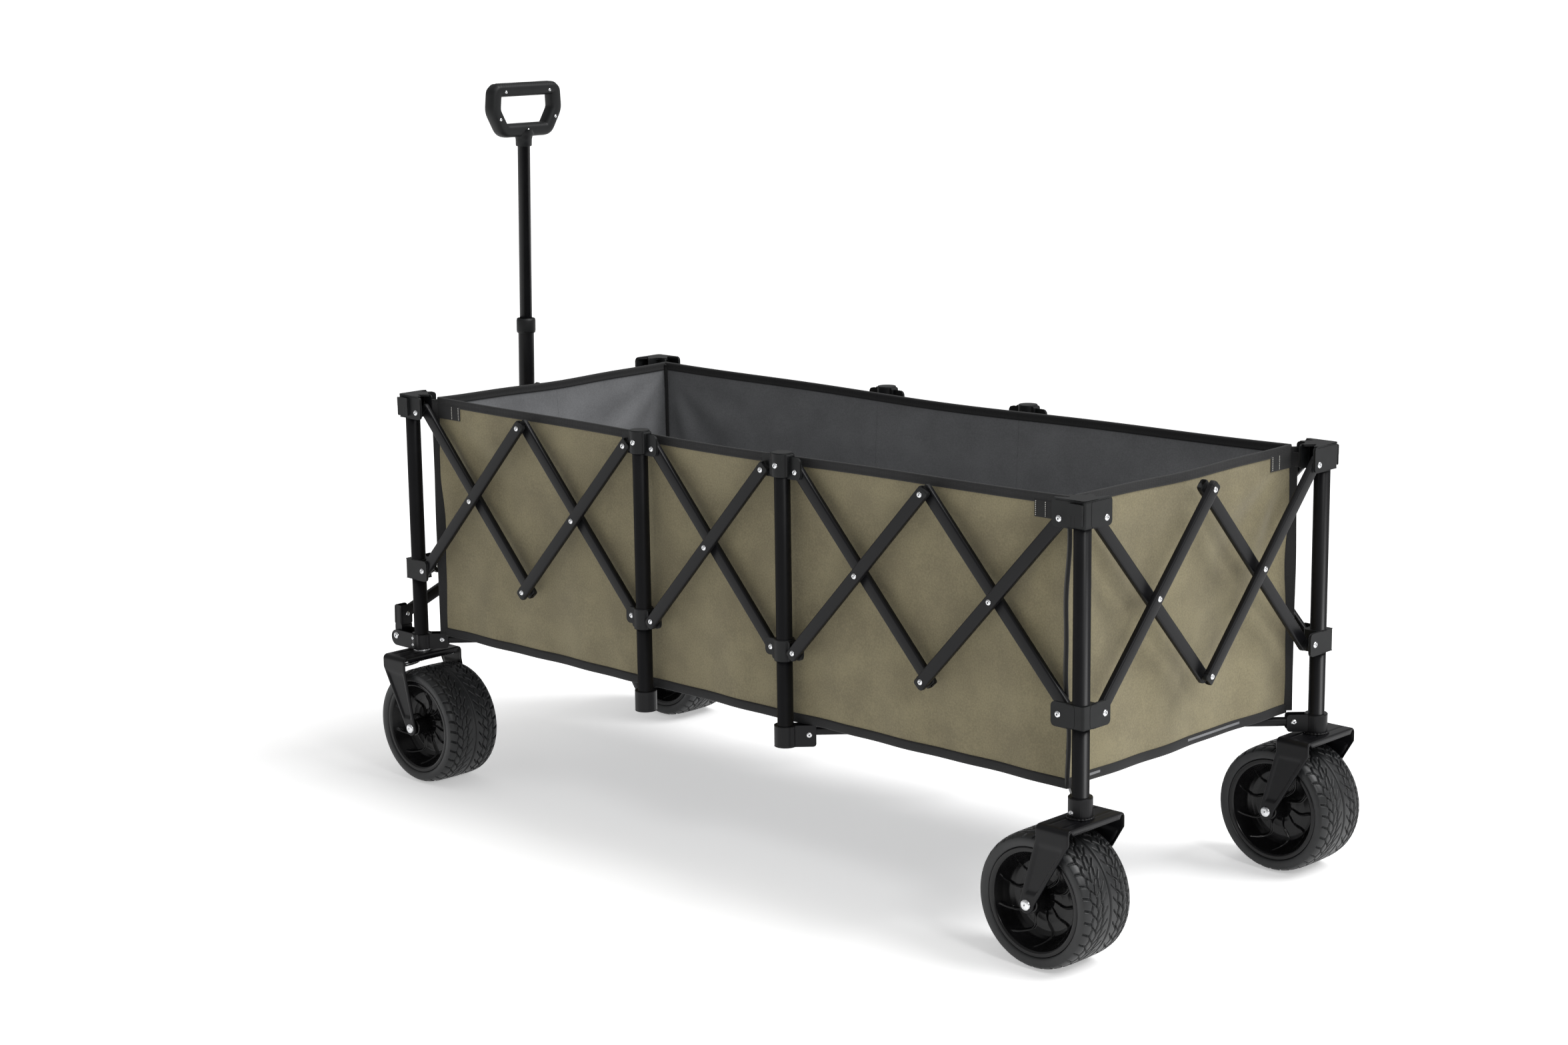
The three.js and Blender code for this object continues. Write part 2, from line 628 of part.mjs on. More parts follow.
function addHandle(wagon) {
  const handle = new THREE.Group();
  handle.position.set(-CORNER_X - TILT_DISTANCE, 0, TILT_Z);
  handle.rotation.y = HANDLE_LEAN;
  wagon.add(handle);
  const bracket = piece('handle_bracket_near', armBracketGeometry(), powderCoat, handle);
  bracket.position.y = -CORNER_Y;
  for (const [name, sy] of [['near', 1], ['far', -1]]) {
    const arm = piece(`handle_arm_${name}`, armGeometry(), powderCoat, handle);
    arm.position.set(0, -sy * (CORNER_Y - ARM_OUTER_Y), ARM_RISE);
    arm.rotation.x = sy > 0 ? ARM_SLOPE : Math.PI - ARM_SLOPE;
  }
  piece('handle_lower_pole', lowerPoleGeometry(), powderCoat, handle);
  piece('handle_upper_pole', upperPoleGeometry(), blackPlastic, handle);
}

// ---------------------------------------------------------------- assembly

// The origin is on the floor, under the middle of the wagon's overall length and width.
const wagon = new THREE.Group();
wagon.position.x = (FRONT_REACH - REAR_REACH) / 2;

const wheel = wheelGeometry();
const caster = casterGeometry();
const brake = brakeGeometry();

function addWheel(name, x, y) {
  piece(name, wheel, rubber, wagon).position.set(x, y, WHEEL_RADIUS);
}

for (const [side, sy] of [['near', 1], ['far', -1]]) {
  const y = -sy * CORNER_Y;
  const seenFromOutside = sy > 0;

  piece(`post_front_${side}`, frontPost(sy), powderCoat, wagon).position.set(-CORNER_X, y, 0);
  piece(`post_rear_${side}`, rearPost(sy), powderCoat, wagon).position.set(CORNER_X, y, 0);

  // As seen from outside, the left middle post carries both its bars and the right one only
  // the bar on its right. The pivots that stay open have no pin.
  const leftPins = [[-sy, -1], [sy, 1]];
  const rightPins = [[sy, 1]];
  const leftFirst = seenFromOutside ? [leftPins, rightPins] : [rightPins, leftPins];
  const frontMid = piece(`post_mid_front_${side}`, midPost(-1, sy, leftFirst[0]), powderCoat, wagon);
  frontMid.position.set(-MID_X, y, 0);
  const rearMid = piece(`post_mid_rear_${side}`, midPost(1, sy, leftFirst[1]), powderCoat, wagon);
  rearMid.position.set(MID_X, y, 0);

  // A corner slider is pinned to the lower end of the nearest long-side bar.
  const frontLayer = seenFromOutside ? -1 : 1;
  const frontSlider = cornerSlider(1, sy, frontLayer);
  piece(`slider_front_${side}`, frontSlider, blackPlastic, wagon).position.set(-CORNER_X, y, 0);
  const rearSlider = cornerSlider(-1, sy, -frontLayer);
  piece(`slider_rear_${side}`, rearSlider, blackPlastic, wagon).position.set(CORNER_X, y, 0);
  const frontMidSlider = midSlider(sy, -1, -frontLayer);
  piece(`slider_mid_front_${side}`, frontMidSlider, blackPlastic, wagon).position.set(-MID_X, y, 0);
  const rearMidSlider = midSlider(sy, 1, frontLayer);
  piece(`slider_mid_rear_${side}`, rearMidSlider, blackPlastic, wagon).position.set(MID_X, y, 0);

  piece(`caster_${side}`, caster, powderCoat, wagon).position.set(-CORNER_X, y, 0);
  const pedal = piece(`brake_${side}`, brake, zincSteel, wagon);
  pedal.position.set(-CORNER_X + BRAKE_PIVOT[0], y, BRAKE_PIVOT[1]);
  addWheel(`wheel_front_${side}`, -CORNER_X + FRONT_TRAIL, y);
  addWheel(`wheel_rear_${side}`, CORNER_X + REAR_SETBACK, y);
}

const quarter = Math.PI / 2;
const firstCross = MID_X + MID_EAR + PITCH / 2;
const longCentres = [-firstCross - PITCH, -firstCross, 0, firstCross, firstCross + PITCH];
const endCentres = [-PITCH / 2, PITCH / 2];
addSide(wagon, 'near', 0, CORNER_Y, longCentres);
addSide(wagon, 'rear', quarter, CORNER_X, endCentres);
addSide(wagon, 'far', 2 * quarter, CORNER_Y, longCentres);
addSide(wagon, 'front', 3 * quarter, CORNER_X, endCentres);

piece('basket', basketGeometry(), oliveCloth, wagon);
piece('base_front', baseGeometry(-1), powderCoat, wagon).position.x = -HUB_X;
piece('base_rear', baseGeometry(1), powderCoat, wagon).position.x = HUB_X;
addHandle(wagon);

export default wagon;
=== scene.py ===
"""Folding camp wagon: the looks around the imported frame.

The long sides are -Y (near) and +Y (far), the pull handle is at -X and the fixed wheels are at
+X. Lengths are in metres. Every new piece is a surface worked out from the frame's own joints
and boxes, and rides on the body that it belongs to.
"""

import json
import math

import bpy
import numpy as np
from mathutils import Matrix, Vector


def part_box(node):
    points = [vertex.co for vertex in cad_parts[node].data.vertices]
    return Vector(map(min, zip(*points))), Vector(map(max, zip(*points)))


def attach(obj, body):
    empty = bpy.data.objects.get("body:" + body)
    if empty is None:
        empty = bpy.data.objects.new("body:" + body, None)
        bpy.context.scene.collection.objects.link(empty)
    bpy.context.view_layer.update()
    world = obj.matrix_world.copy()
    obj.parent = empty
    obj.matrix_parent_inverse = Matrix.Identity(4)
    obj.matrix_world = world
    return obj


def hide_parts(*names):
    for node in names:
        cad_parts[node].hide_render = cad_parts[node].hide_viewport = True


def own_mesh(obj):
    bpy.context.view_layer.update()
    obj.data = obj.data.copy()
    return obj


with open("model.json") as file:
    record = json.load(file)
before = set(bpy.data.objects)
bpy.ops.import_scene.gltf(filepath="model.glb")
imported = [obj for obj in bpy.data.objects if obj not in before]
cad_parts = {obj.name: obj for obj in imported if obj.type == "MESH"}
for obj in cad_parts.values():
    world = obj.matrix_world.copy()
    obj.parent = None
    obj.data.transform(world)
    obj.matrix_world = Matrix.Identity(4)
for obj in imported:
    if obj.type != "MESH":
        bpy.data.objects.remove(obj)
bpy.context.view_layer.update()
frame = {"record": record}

bl_info = {
    "name": "Folding camp wagon",
    "version": (1, 0, 0),
    "blender": (4, 5, 0),
    "location": "3D View > Sidebar > Wagon",
    "description": "Builds the pieces and finishes of a folding camp wagon around its frame",
    "category": "Add Mesh",
}

MM = 0.001
UP = np.array([0.0, 0.0, 1.0])
JOINTS = {joint["name"]: joint for joint in frame["record"]["behaviour"]["joints"]}

# Where the frame puts things
BLOCK_HALF = 16.7 * MM
BAR_END = 10 * MM
SLIDER_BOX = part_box("slider_front_near")
POST_FRONT_X = SLIDER_BOX[0][0] + BLOCK_HALF
POST_REAR_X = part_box("slider_rear_near")[1][0] - BLOCK_HALF
POST_Y = -(SLIDER_BOX[0][1] + BLOCK_HALF)
MID_FRONT_X = sum(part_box("slider_mid_front_near")[i][0] for i in (0, 1)) / 2
MID_REAR_X = sum(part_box("slider_mid_rear_near")[i][0] for i in (0, 1)) / 2
CENTRE_X = (POST_FRONT_X + POST_REAR_X) / 2
TOP_PIVOT_Z = JOINTS["turn_near_bar_1_falling"]["pos_m"][2]
SLIDER_Z = JOINTS["ride_slider_front_near"]["pos_m"][2]
CROWN_Z = JOINTS["caster_swivel_near"]["pos_m"][2]
AXLE_Z = JOINTS["wheel_spin_front_near"]["pos_m"][2]
FOLD = JOINTS["fold"]
FOLD_RANGE = FOLD["range_m"][1]
FOLD_X = abs(FOLD["axis"][0]) * FOLD_RANGE
FOLD_Y = abs(FOLD["axis"][1]) * FOLD_RANGE
FOLD_MID_X = FOLD_X / 5
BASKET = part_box("basket")

BRACKET_LOW_Z = 0.637
BRACKET_HIGH_Z = 0.674
FOOT_LOW_Z = 0.226
FORK_HALF = 64.5 * MM
FOOT_HIGH_Z = 0.252
TUBE_TOP_Z = 0.670
TUBE_LOW_Z = 0.2215
MID_TUBE_LOW_Z = 0.216
EAR_LOW_Z = 0.635
EAR_HIGH_Z = 0.668
MID_FOOT_LOW_Z = 0.217
MID_FOOT_HIGH_Z = 0.250
SLEEVE_RIVET_Z = 0.2315
STRAP_INNER_Z = 0.649
STRAP_OUTER_Z = 0.651
HUB_Z = 0.240
PEDAL_SLOPE = 22

POSTS = {
    "post_front_near": (POST_FRONT_X, -POST_Y),
    "post_front_far": (POST_FRONT_X, POST_Y),
    "post_rear_near": (POST_REAR_X, -POST_Y),
    "post_rear_far": (POST_REAR_X, POST_Y),
    "post_mid_front_near": (MID_FRONT_X, -POST_Y),
    "post_mid_front_far": (MID_FRONT_X, POST_Y),
    "post_mid_rear_near": (MID_REAR_X, -POST_Y),
    "post_mid_rear_far": (MID_REAR_X, POST_Y),
}

# Each side as someone facing it sees it: its middle on the floor, its right and its outside.
SIDES = {
    "near": ((CENTRE_X, -POST_Y), (1, 0), (0, -1)),
    "rear": ((POST_REAR_X, 0.0), (0, 1), (1, 0)),
    "far": ((CENTRE_X, POST_Y), (-1, 0), (0, 1)),
    "front": ((POST_FRONT_X, 0.0), (0, -1), (-1, 0)),
}


# ------------------------------------------------------------------ settings

def linear(code):
    """An sRGB hex colour as linear red, green, blue and alpha."""
    parts = [int(code[i:i + 2], 16) / 255 for i in (0, 2, 4)]
    return tuple(c / 12.92 if c <= 0.04045 else ((c + 0.055) / 1.055) ** 2.4 for c in parts) + (1.0,)


def colour(name, description, code):
    return bpy.props.FloatVectorProperty(
        name=name, description=description, subtype="COLOR", size=4, min=0, max=1,
        default=linear(code),
    )


def length(name, description, millimetres):
    return bpy.props.FloatProperty(
        name=name, description=description, unit="LENGTH", default=millimetres * MM, min=0.0,
    )


class WagonColours(bpy.types.PropertyGroup):
    """Colours of the wagon's finishes."""

    cloth: colour("Outer cloth", "Dyed polyester on the outside of the basket", "827a5e")
    cloth_dark: colour("Outer cloth, dark threads", "The darker threads of the outer cloth", "706850")
    lining: colour("Lining", "Coated grey lining inside the basket", "6f7072")
    tape: colour("Binding tape", "Woven tape on the basket's edges", "101011")
    thread: colour("Stitching", "Pale thread on the corner tabs", "c9c8c2")
    powder: colour("Powder coat", "Black coat on tubes and forks", "0f0f11")
    plastic: colour("Moulded plastic", "Brackets, sliders and grip", "131415")
    tyre: colour("Tyre", "Moulded tread and side wall", "1c1d1e")
    rim: colour("Rim", "Glossy moulded wheel rim", "0b0b0c")
    zinc: colour("Zinc plate", "Rivets, screws, washers and bolts", "e2e3e5")
    floor: colour("Studio floor", "Pale floor under the wagon", "f4f4f4")


class WagonSizes(bpy.types.PropertyGroup):
    """Sizes of the wagon's finished pieces."""

    tube_radius: length("Post radius", "Outer radius of the posts", 12.5)
    bar_width: length("Bar width", "Width of the flat bars", 20)
    bar_thickness: length("Bar thickness", "Thickness of the flat bars", 10)
    bar_corner: length("Bar corner", "Corner radius of the flat bars", 3)
    rivet_radius: length("Rivet radius", "Radius of a rivet's head", 4.6)
    rivet_height: length("Rivet height", "Height of a rivet's head", 2.2)
    tape_width: length("Binding width", "How far the rim's tape reaches down each side", 12)
    cloth_thickness: length("Cloth thickness", "Outer cloth and lining together", 2)
    tread_depth: length("Tread depth", "Depth of the grooves in the tyres", 4.0)
    thread_spacing: length("Thread spacing", "Spacing of the cloth's drawn threads", 1.4)


def colours():
    return bpy.context.scene.wagon_colours


def sizes():
    return bpy.context.scene.wagon_sizes


# ------------------------------------------------------------------ arrays into meshes

def unit(vector):
    vector = np.asarray(vector, float)
    return vector / np.linalg.norm(vector)


def grid_faces(rows, columns, wrap_rows=False, wrap_columns=False):
    """Quads between neighbours in a grid of points that is stored row by row."""
    i, j = np.meshgrid(
        np.arange(rows if wrap_rows else rows - 1),
        np.arange(columns if wrap_columns else columns - 1),
        indexing="ij",
    )
    i, j = i.ravel(), j.ravel()
    down, right = (i + 1) % rows, (j + 1) % columns
    return np.stack([i * columns + j, down * columns + j, down * columns + right, i * columns + right], 1)


def volume(points, faces):
    """Signed volume inside closed faces: the sum of the fans of tetrahedra to the origin."""
    total = 0.0
    for group in faces:
        corners = points[group]
        first = corners[:, 0]
        for k in range(1, corners.shape[1] - 1):
            total += np.einsum("ij,ij->", first, np.cross(corners[:, k], corners[:, k + 1]))
    return total


def part(points, faces, material=0, smooth=True, uv=None, closed=True):
    """A stretch of surface: points, a list of face arrays, and their material and shading,
    given once or as a tuple with one for each face array."""
    points = np.asarray(points, float).reshape(-1, 3)
    faces = [np.asarray(group, int) for group in faces]
    if closed and volume(points - points.mean(0), faces) < 0:
        faces = [group[:, ::-1] for group in faces]
    return {"points": points, "faces": faces, "material": material, "smooth": smooth, "uv": uv}


def choice(value, index):
    """A setting for one face array of a part: one value for all, or one each."""
    return value[index] if isinstance(value, tuple) else value


def make(name, parts, materials, body, bevel=0.0):
    """One object from parts, placed by its mesh, riding on a body of the frame."""
    mesh = bpy.data.meshes.new(name)
    offset = 0
    points, loops, sizes_of_faces, indices, smooth, uvs = [], [], [], [], [], []
    for item in parts:
        points.append(item["points"])
        for index, group in enumerate(item["faces"]):
            loops.append((group + offset).ravel())
            sizes_of_faces.append(np.full(len(group), group.shape[1]))
            indices.append(np.full(len(group), choice(item["material"], index)))
            smooth.append(np.full(len(group), choice(item["smooth"], index)))
            flat = np.zeros((group.size, 2)) if item["uv"] is None else item["uv"][group.ravel()]
            uvs.append(flat)
        offset += len(item["points"])
    points, loops = np.concatenate(points), np.concatenate(loops)
    totals = np.concatenate(sizes_of_faces)
    mesh.vertices.add(len(points))
    mesh.vertices.foreach_set("co", points.ravel())
    mesh.loops.add(len(loops))
    mesh.loops.foreach_set("vertex_index", loops)
    mesh.polygons.add(len(totals))
    mesh.polygons.foreach_set("loop_start", np.concatenate([[0], np.cumsum(totals)[:-1]]))
    mesh.polygons.foreach_set("material_index", np.concatenate(indices))
    mesh.polygons.foreach_set("use_smooth", np.concatenate(smooth).astype(bool))
    mesh.uv_layers.new(name="Surface").data.foreach_set("uv", np.concatenate(uvs).ravel())
    mesh.update(calc_edges=True)
    if mesh.validate():
        raise RuntimeError(f"{name} has faulty faces")
    for material in materials:
        mesh.materials.append(material)
    obj = bpy.data.objects.new(name, mesh)
    bpy.context.scene.collection.objects.link(obj)
    if bevel:
        rounding = obj.modifiers.new("Rounded edges", "BEVEL")
        rounding.width = bevel
        rounding.segments = 3
        rounding.limit_method = "ANGLE"
        rounding.angle_limit = math.radians(40)
        rounding.harden_normals = True
    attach(obj, body)
    return obj


# ------------------------------------------------------------------ shapes

def rounded_outline(width, height, radius, steps=4):
    """A rectangle whose corners are quarter circles, as points in order round it."""
    turn = np.linspace(0, math.pi / 2, steps + 1)
    corners = []
    for k, (sx, sy) in enumerate(((1, 1), (-1, 1), (-1, -1), (1, -1))):
        angle = turn + k * math.pi / 2
        centre = np.array([sx * (width / 2 - radius), sy * (height / 2 - radius)])
        corners.append(centre + radius * np.stack([np.cos(angle), np.sin(angle)], 1))
    return np.concatenate(corners)


def sweep(path, side, rise, section, material=0, closed_path=False, smooth=True):
    """A section carried along a path: each ring is the path's point plus the section's first
    number along side and its second along rise. Open paths end in flat caps."""
    path = np.asarray(path, float)
    count = len(path)
    side = np.broadcast_to(np.asarray(side, float), (count, 3))
    rise = np.broadcast_to(np.asarray(rise, float), (count, 3))
    section = np.asarray(section, float)
    if section.ndim == 2:
        section = np.broadcast_to(section, (count,) + section.shape)
    ring = section.shape[1]
    points = (
        path[:, None] + section[..., :1] * side[:, None] + section[..., 1:] * rise[:, None]
    ).reshape(-1, 3)
    faces = [grid_faces(count, ring, closed_path, True)]
    if not closed_path:
        faces.append(np.arange(ring)[None, ::-1])
        faces.append(np.arange(ring)[None] + (count - 1) * ring)
    return part(points, faces, material, smooth)


def lathe(profile, origin, axis, segments=24, material=0, smooth=True, closed=False):
    """A profile of (radius, distance along the axis) turned all the way round. An open profile
    ends in flat caps, and a closed one makes a ring."""
    profile = np.asarray(profile, float)
    axis = unit(axis)
    across = unit(np.cross(axis, (0.3, 0.5, 0.81)))
    other = np.cross(axis, across)
    angle = np.linspace(0, 2 * math.pi, segments, endpoint=False)
    spoke = np.cos(angle)[:, None] * across + np.sin(angle)[:, None] * other
    points = (
        np.asarray(origin, float)
        + profile[:, None, :1] * spoke
        + profile[:, None, 1:] * axis
    ).reshape(-1, 3)
    rows = len(profile)
    faces = [grid_faces(rows, segments, closed, True)]
    if not closed:
        faces.append(np.arange(segments)[None, ::-1])
        faces.append(np.arange(segments)[None] + (rows - 1) * segments)
    return part(points, faces, material, smooth)


def slab(outline, thickness, origin, x_axis, y_axis, material=0):
    """A flat outline, given thickness both ways from its plane."""
    outline = np.asarray(outline, float)
    normal = np.cross(x_axis, y_axis)
    flat = outline[:, :1] * np.asarray(x_axis, float) + outline[:, 1:] * np.asarray(y_axis, float)
    path = np.array([-thickness / 2, thickness / 2])[:, None] * normal
    points = (path[:, None] + flat[None]).reshape(-1, 3) + np.asarray(origin, float)
    count = len(outline)
    faces = [
        grid_faces(2, count, False, True),
        np.arange(count)[None, ::-1],
        np.arange(count)[None] + count,
    ]
    return part(points, faces, material, smooth=False)


def rivet(origin, axis, scale=1.0, material=0):
    """A tubular rivet's head: a dome with a shallow dimple in its middle."""
    radius = sizes().rivet_radius * scale
    height = sizes().rivet_height * scale
    climb = np.linspace(0, 1, 5) * math.radians(68)
    dome = np.stack([radius * np.cos(climb), height * np.sin(climb)], 1)
    dimple = [[radius * 0.3, height * 0.82], [radius * 0.2, height * 0.55]]
    profile = np.concatenate([[[radius, -0.4 * MM]], dome, dimple])
    return lathe(profile, origin, axis, 16, material)


def side_point(side, along, out, z):
    """A point given along a side, outwards from its posts' plane, and up."""
    (x, y), (rx, ry), (ox, oy) = SIDES[side]
    return np.array([x + rx * along + ox * out, y + ry * along + oy * out, z])


def side_axes(side):
    """A side's right and outward directions."""
    right, out = SIDES[side][1:]
    return np.array([*right, 0.0]), np.array([*out, 0.0])


# ------------------------------------------------------------------ materials

def add(tree, kind, inputs=None, **settings):
    """Adds a node, sets its settings, and sets or links its inputs."""
    new = tree.nodes.new(kind)
    for key, value in settings.items():
        setattr(new, key, value)
    for key, value in (inputs or {}).items():
        if isinstance(value, bpy.types.NodeSocket):
            tree.links.new(value, new.inputs[key])
        else:
            new.inputs[key].default_value = value
    return new


def finish_named(name, build):
    """The material of that name, built once."""
    found = bpy.data.materials.get(name)
    if found:
        return found
    material = bpy.data.materials.new(name)
    material.use_nodes = True
    tree = material.node_tree
    tree.nodes.clear()
    shader = build(tree)
    add(tree, "ShaderNodeOutputMaterial", {"Surface": shader.outputs["BSDF"]})
    return material


def grain(tree, coordinates, size, detail=2.0):
    """Noise whose grains are about size metres across."""
    return add(tree, "ShaderNodeTexNoise", {"Vector": coordinates, "Scale": 1 / size, "Detail": detail})


def shade(tree, factor, dark, light, low=0.3, high=0.7):
    """A colour that goes from dark to light as factor goes from low to high."""
    ramp = add(tree, "ShaderNodeValToRGB", {"Fac": factor})
    ramp.color_ramp.elements[0].position = low
    ramp.color_ramp.elements[1].position = high
    ramp.color_ramp.elements[0].color = dark
    ramp.color_ramp.elements[1].color = light
    return ramp.outputs["Color"]


def scaled(rgba, factor):
    return tuple(min(1.0, c * factor) for c in rgba[:3]) + (1.0,)


def spread(tree, factor, low, high):
    """A number from low to high as factor goes from 0 to 1."""
    ranged = add(tree, "ShaderNodeMapRange", {"Value": factor, "To Min": low, "To Max": high})
    return ranged.outputs["Result"]


def powder_coat():
    """Polyester powder coat, baked on steel tube: satin, with a fine orange-peel ripple."""
    def build(tree):
        place = add(tree, "ShaderNodeTexCoord").outputs["Object"]
        peel = grain(tree, place, 1.1 * MM)
        clouds = grain(tree, place, 60 * MM, 3.0)
        base = tuple(colours().powder)
        bump = add(tree, "ShaderNodeBump", {
            "Height": peel.outputs["Fac"], "Strength": 0.25, "Distance": 0.06 * MM})
        return add(tree, "ShaderNodeBsdfPrincipled", {
            "Base Color": shade(tree, clouds.outputs["Fac"], scaled(base, 0.85), scaled(base, 1.2)),
            "Roughness": spread(tree, clouds.outputs["Fac"], 0.3, 0.4),
            "Specular IOR Level": 0.2,
            "IOR": 1.5,
            "Normal": bump.outputs["Normal"]})
    return finish_named("powder_coated_steel", build)


def moulded_plastic():
    """Glass-filled nylon, injection moulded in a spark-eroded tool: an even matte grain."""
    def build(tree):
        place = add(tree, "ShaderNodeTexCoord").outputs["Object"]
        spark = grain(tree, place, 0.7 * MM, 3.0)
        clouds = grain(tree, place, 25 * MM)
        base = tuple(colours().plastic)
        bump = add(tree, "ShaderNodeBump", {
            "Height": spark.outputs["Fac"], "Strength": 0.4, "Distance": 0.08 * MM})
        return add(tree, "ShaderNodeBsdfPrincipled", {
            "Base Color": shade(tree, clouds.outputs["Fac"], scaled(base, 0.85), scaled(base, 1.25)),
            "Roughness": spread(tree, spark.outputs["Fac"], 0.42, 0.56),
            "Specular IOR Level": 0.22,
            "IOR": 1.53,
            "Normal": bump.outputs["Normal"]})
    return finish_named("moulded_nylon", build)


def glossy_rim():
    """Polypropylene, moulded in a polished tool: glossy, with faint flow marks."""
    def build(tree):
        place = add(tree, "ShaderNodeTexCoord").outputs["Object"]
        flow = grain(tree, place, 18 * MM, 3.0)
        bump = add(tree, "ShaderNodeBump", {
            "Height": flow.outputs["Fac"], "Strength": 0.08, "Distance": 0.4 * MM})
        base = tuple(colours().rim)
        return add(tree, "ShaderNodeBsdfPrincipled", {
            "Base Color": shade(tree, flow.outputs["Fac"], base, scaled(base, 1.3)),
            "Roughness": spread(tree, flow.outputs["Fac"], 0.18, 0.28),
            "Specular IOR Level": 0.3,
            "IOR": 1.49,
            "Normal": bump.outputs["Normal"]})
    return finish_named("polished_polypropylene", build)


def tyre_rubber():
    """Foamed thermoplastic rubber, moulded: dull, with dusty high spots."""
    def build(tree):
        place = add(tree, "ShaderNodeTexCoord").outputs["Object"]
        fine = grain(tree, place, 0.8 * MM, 3.0)
        dust = grain(tree, place, 14 * MM, 4.0)
        base = tuple(colours().tyre)
        bump = add(tree, "ShaderNodeBump", {
            "Height": fine.outputs["Fac"], "Strength": 0.35, "Distance": 0.1 * MM})
        return add(tree, "ShaderNodeBsdfPrincipled", {
            "Base Color": shade(tree, dust.outputs["Fac"], scaled(base, 0.8), scaled(base, 1.35)),
            "Roughness": spread(tree, dust.outputs["Fac"], 0.34, 0.48),
            "Specular IOR Level": 0.4,
            "IOR": 1.5,
            "Normal": bump.outputs["Normal"]})
    return finish_named("moulded_rubber", build)


def zinc_plate():
    """Bright zinc on steel, tumbled: soft, slightly uneven shine."""
    def build(tree):
        place = add(tree, "ShaderNodeTexCoord").outputs["Object"]
        tumble = grain(tree, place, 1.5 * MM, 3.0)
        base = tuple(colours().zinc)
        bump = add(tree, "ShaderNodeBump", {
            "Height": tumble.outputs["Fac"], "Strength": 0.2, "Distance": 0.08 * MM})
        return add(tree, "ShaderNodeBsdfPrincipled", {
            "Base Color": shade(tree, tumble.outputs["Fac"], scaled(base, 0.9), base),
            "Metallic": 1.0,
            "Roughness": spread(tree, tumble.outputs["Fac"], 0.2, 0.34),
            "Normal": bump.outputs["Normal"]})
    return finish_named("bright_zinc_plate", build)


def weave(tree, surface, spacing):
    """Height of a plain weave: warp and weft bands that take turns on top."""
    bands = []
    for axis in ("X", "Y"):
        bands.append(add(tree, "ShaderNodeTexWave", {
            "Vector": surface, "Scale": 1 / spacing / 3.1831, "Distortion": 0.6,
            "Detail": 1.0, "Detail Scale": 2.0}, wave_type="BANDS", bands_direction=axis,
            wave_profile="SIN"))
    mixed = add(tree, "ShaderNodeMath", {
        0: bands[0].outputs["Fac"], 1: bands[1].outputs["Fac"]}, operation="MULTIPLY")
    return mixed.outputs["Value"]


def cloth(name, light, dark, roughness, sheen, spacing, strength):
    """Woven cloth. The threads follow the piece's own surface coordinates, and slow noise
    gives the uneven dye and the small slack waves."""
    def build(tree):
        coordinates = add(tree, "ShaderNodeTexCoord")
        threads = weave(tree, coordinates.outputs["UV"], spacing)
        mottle = grain(tree, coordinates.outputs["Object"], 55 * MM, 5.0)
        slub = grain(tree, coordinates.outputs["Object"], 2.6 * MM, 2.0)
        both = add(tree, "ShaderNodeMath", {
            0: mottle.outputs["Fac"], 1: slub.outputs["Fac"]}, operation="ADD")
        half = add(tree, "ShaderNodeMath", {0: both.outputs["Value"], 1: 0.5}, operation="MULTIPLY")
        waves = add(tree, "ShaderNodeBump", {
            "Height": mottle.outputs["Fac"], "Strength": 0.35, "Distance": 3 * MM})
        bump = add(tree, "ShaderNodeBump", {
            "Height": threads, "Strength": strength, "Distance": 0.25 * MM,
            "Normal": waves.outputs["Normal"]})
        return add(tree, "ShaderNodeBsdfPrincipled", {
            "Base Color": shade(tree, half.outputs["Value"], dark, light, 0.38, 0.62),
            "Roughness": roughness,
            "Sheen Weight": sheen,
            "Sheen Roughness": 0.45,
            "IOR": 1.46,
            "Normal": bump.outputs["Normal"]})
    return finish_named(name, build)


def outer_cloth():
    """600-denier polyester, plain woven and dyed. Drawn threads are coarser than the real
    0.5 mm, so that they show."""
    pale, deep = tuple(colours().cloth), tuple(colours().cloth_dark)
    return cloth("woven_polyester_olive", pale, deep, 0.82, 0.25, sizes().thread_spacing, 0.5)


def lining_cloth():
    """Tightly woven polyester with a coated face: smoother and shinier than the outside."""
    base = tuple(colours().lining)
    return cloth("coated_lining_grey", scaled(base, 1.12), scaled(base, 0.88), 0.5, 0.1, 1.2 * MM, 0.3)


def binding_tape():
    """Woven polypropylene webbing: coarse ribs and a dull black."""
    base = tuple(colours().tape)
    return cloth("woven_webbing_black", scaled(base, 1.5), base, 0.78, 0.15, 2.2 * MM, 0.9)


def sewing_thread():
    """Twisted polyester thread: pale and slightly glossy."""
    pale = tuple(colours().thread)
    return cloth("twisted_thread_pale", pale, scaled(pale, 0.8), 0.55, 0.1, 0.8 * MM, 0.5)


# ------------------------------------------------------------------ lattice bars

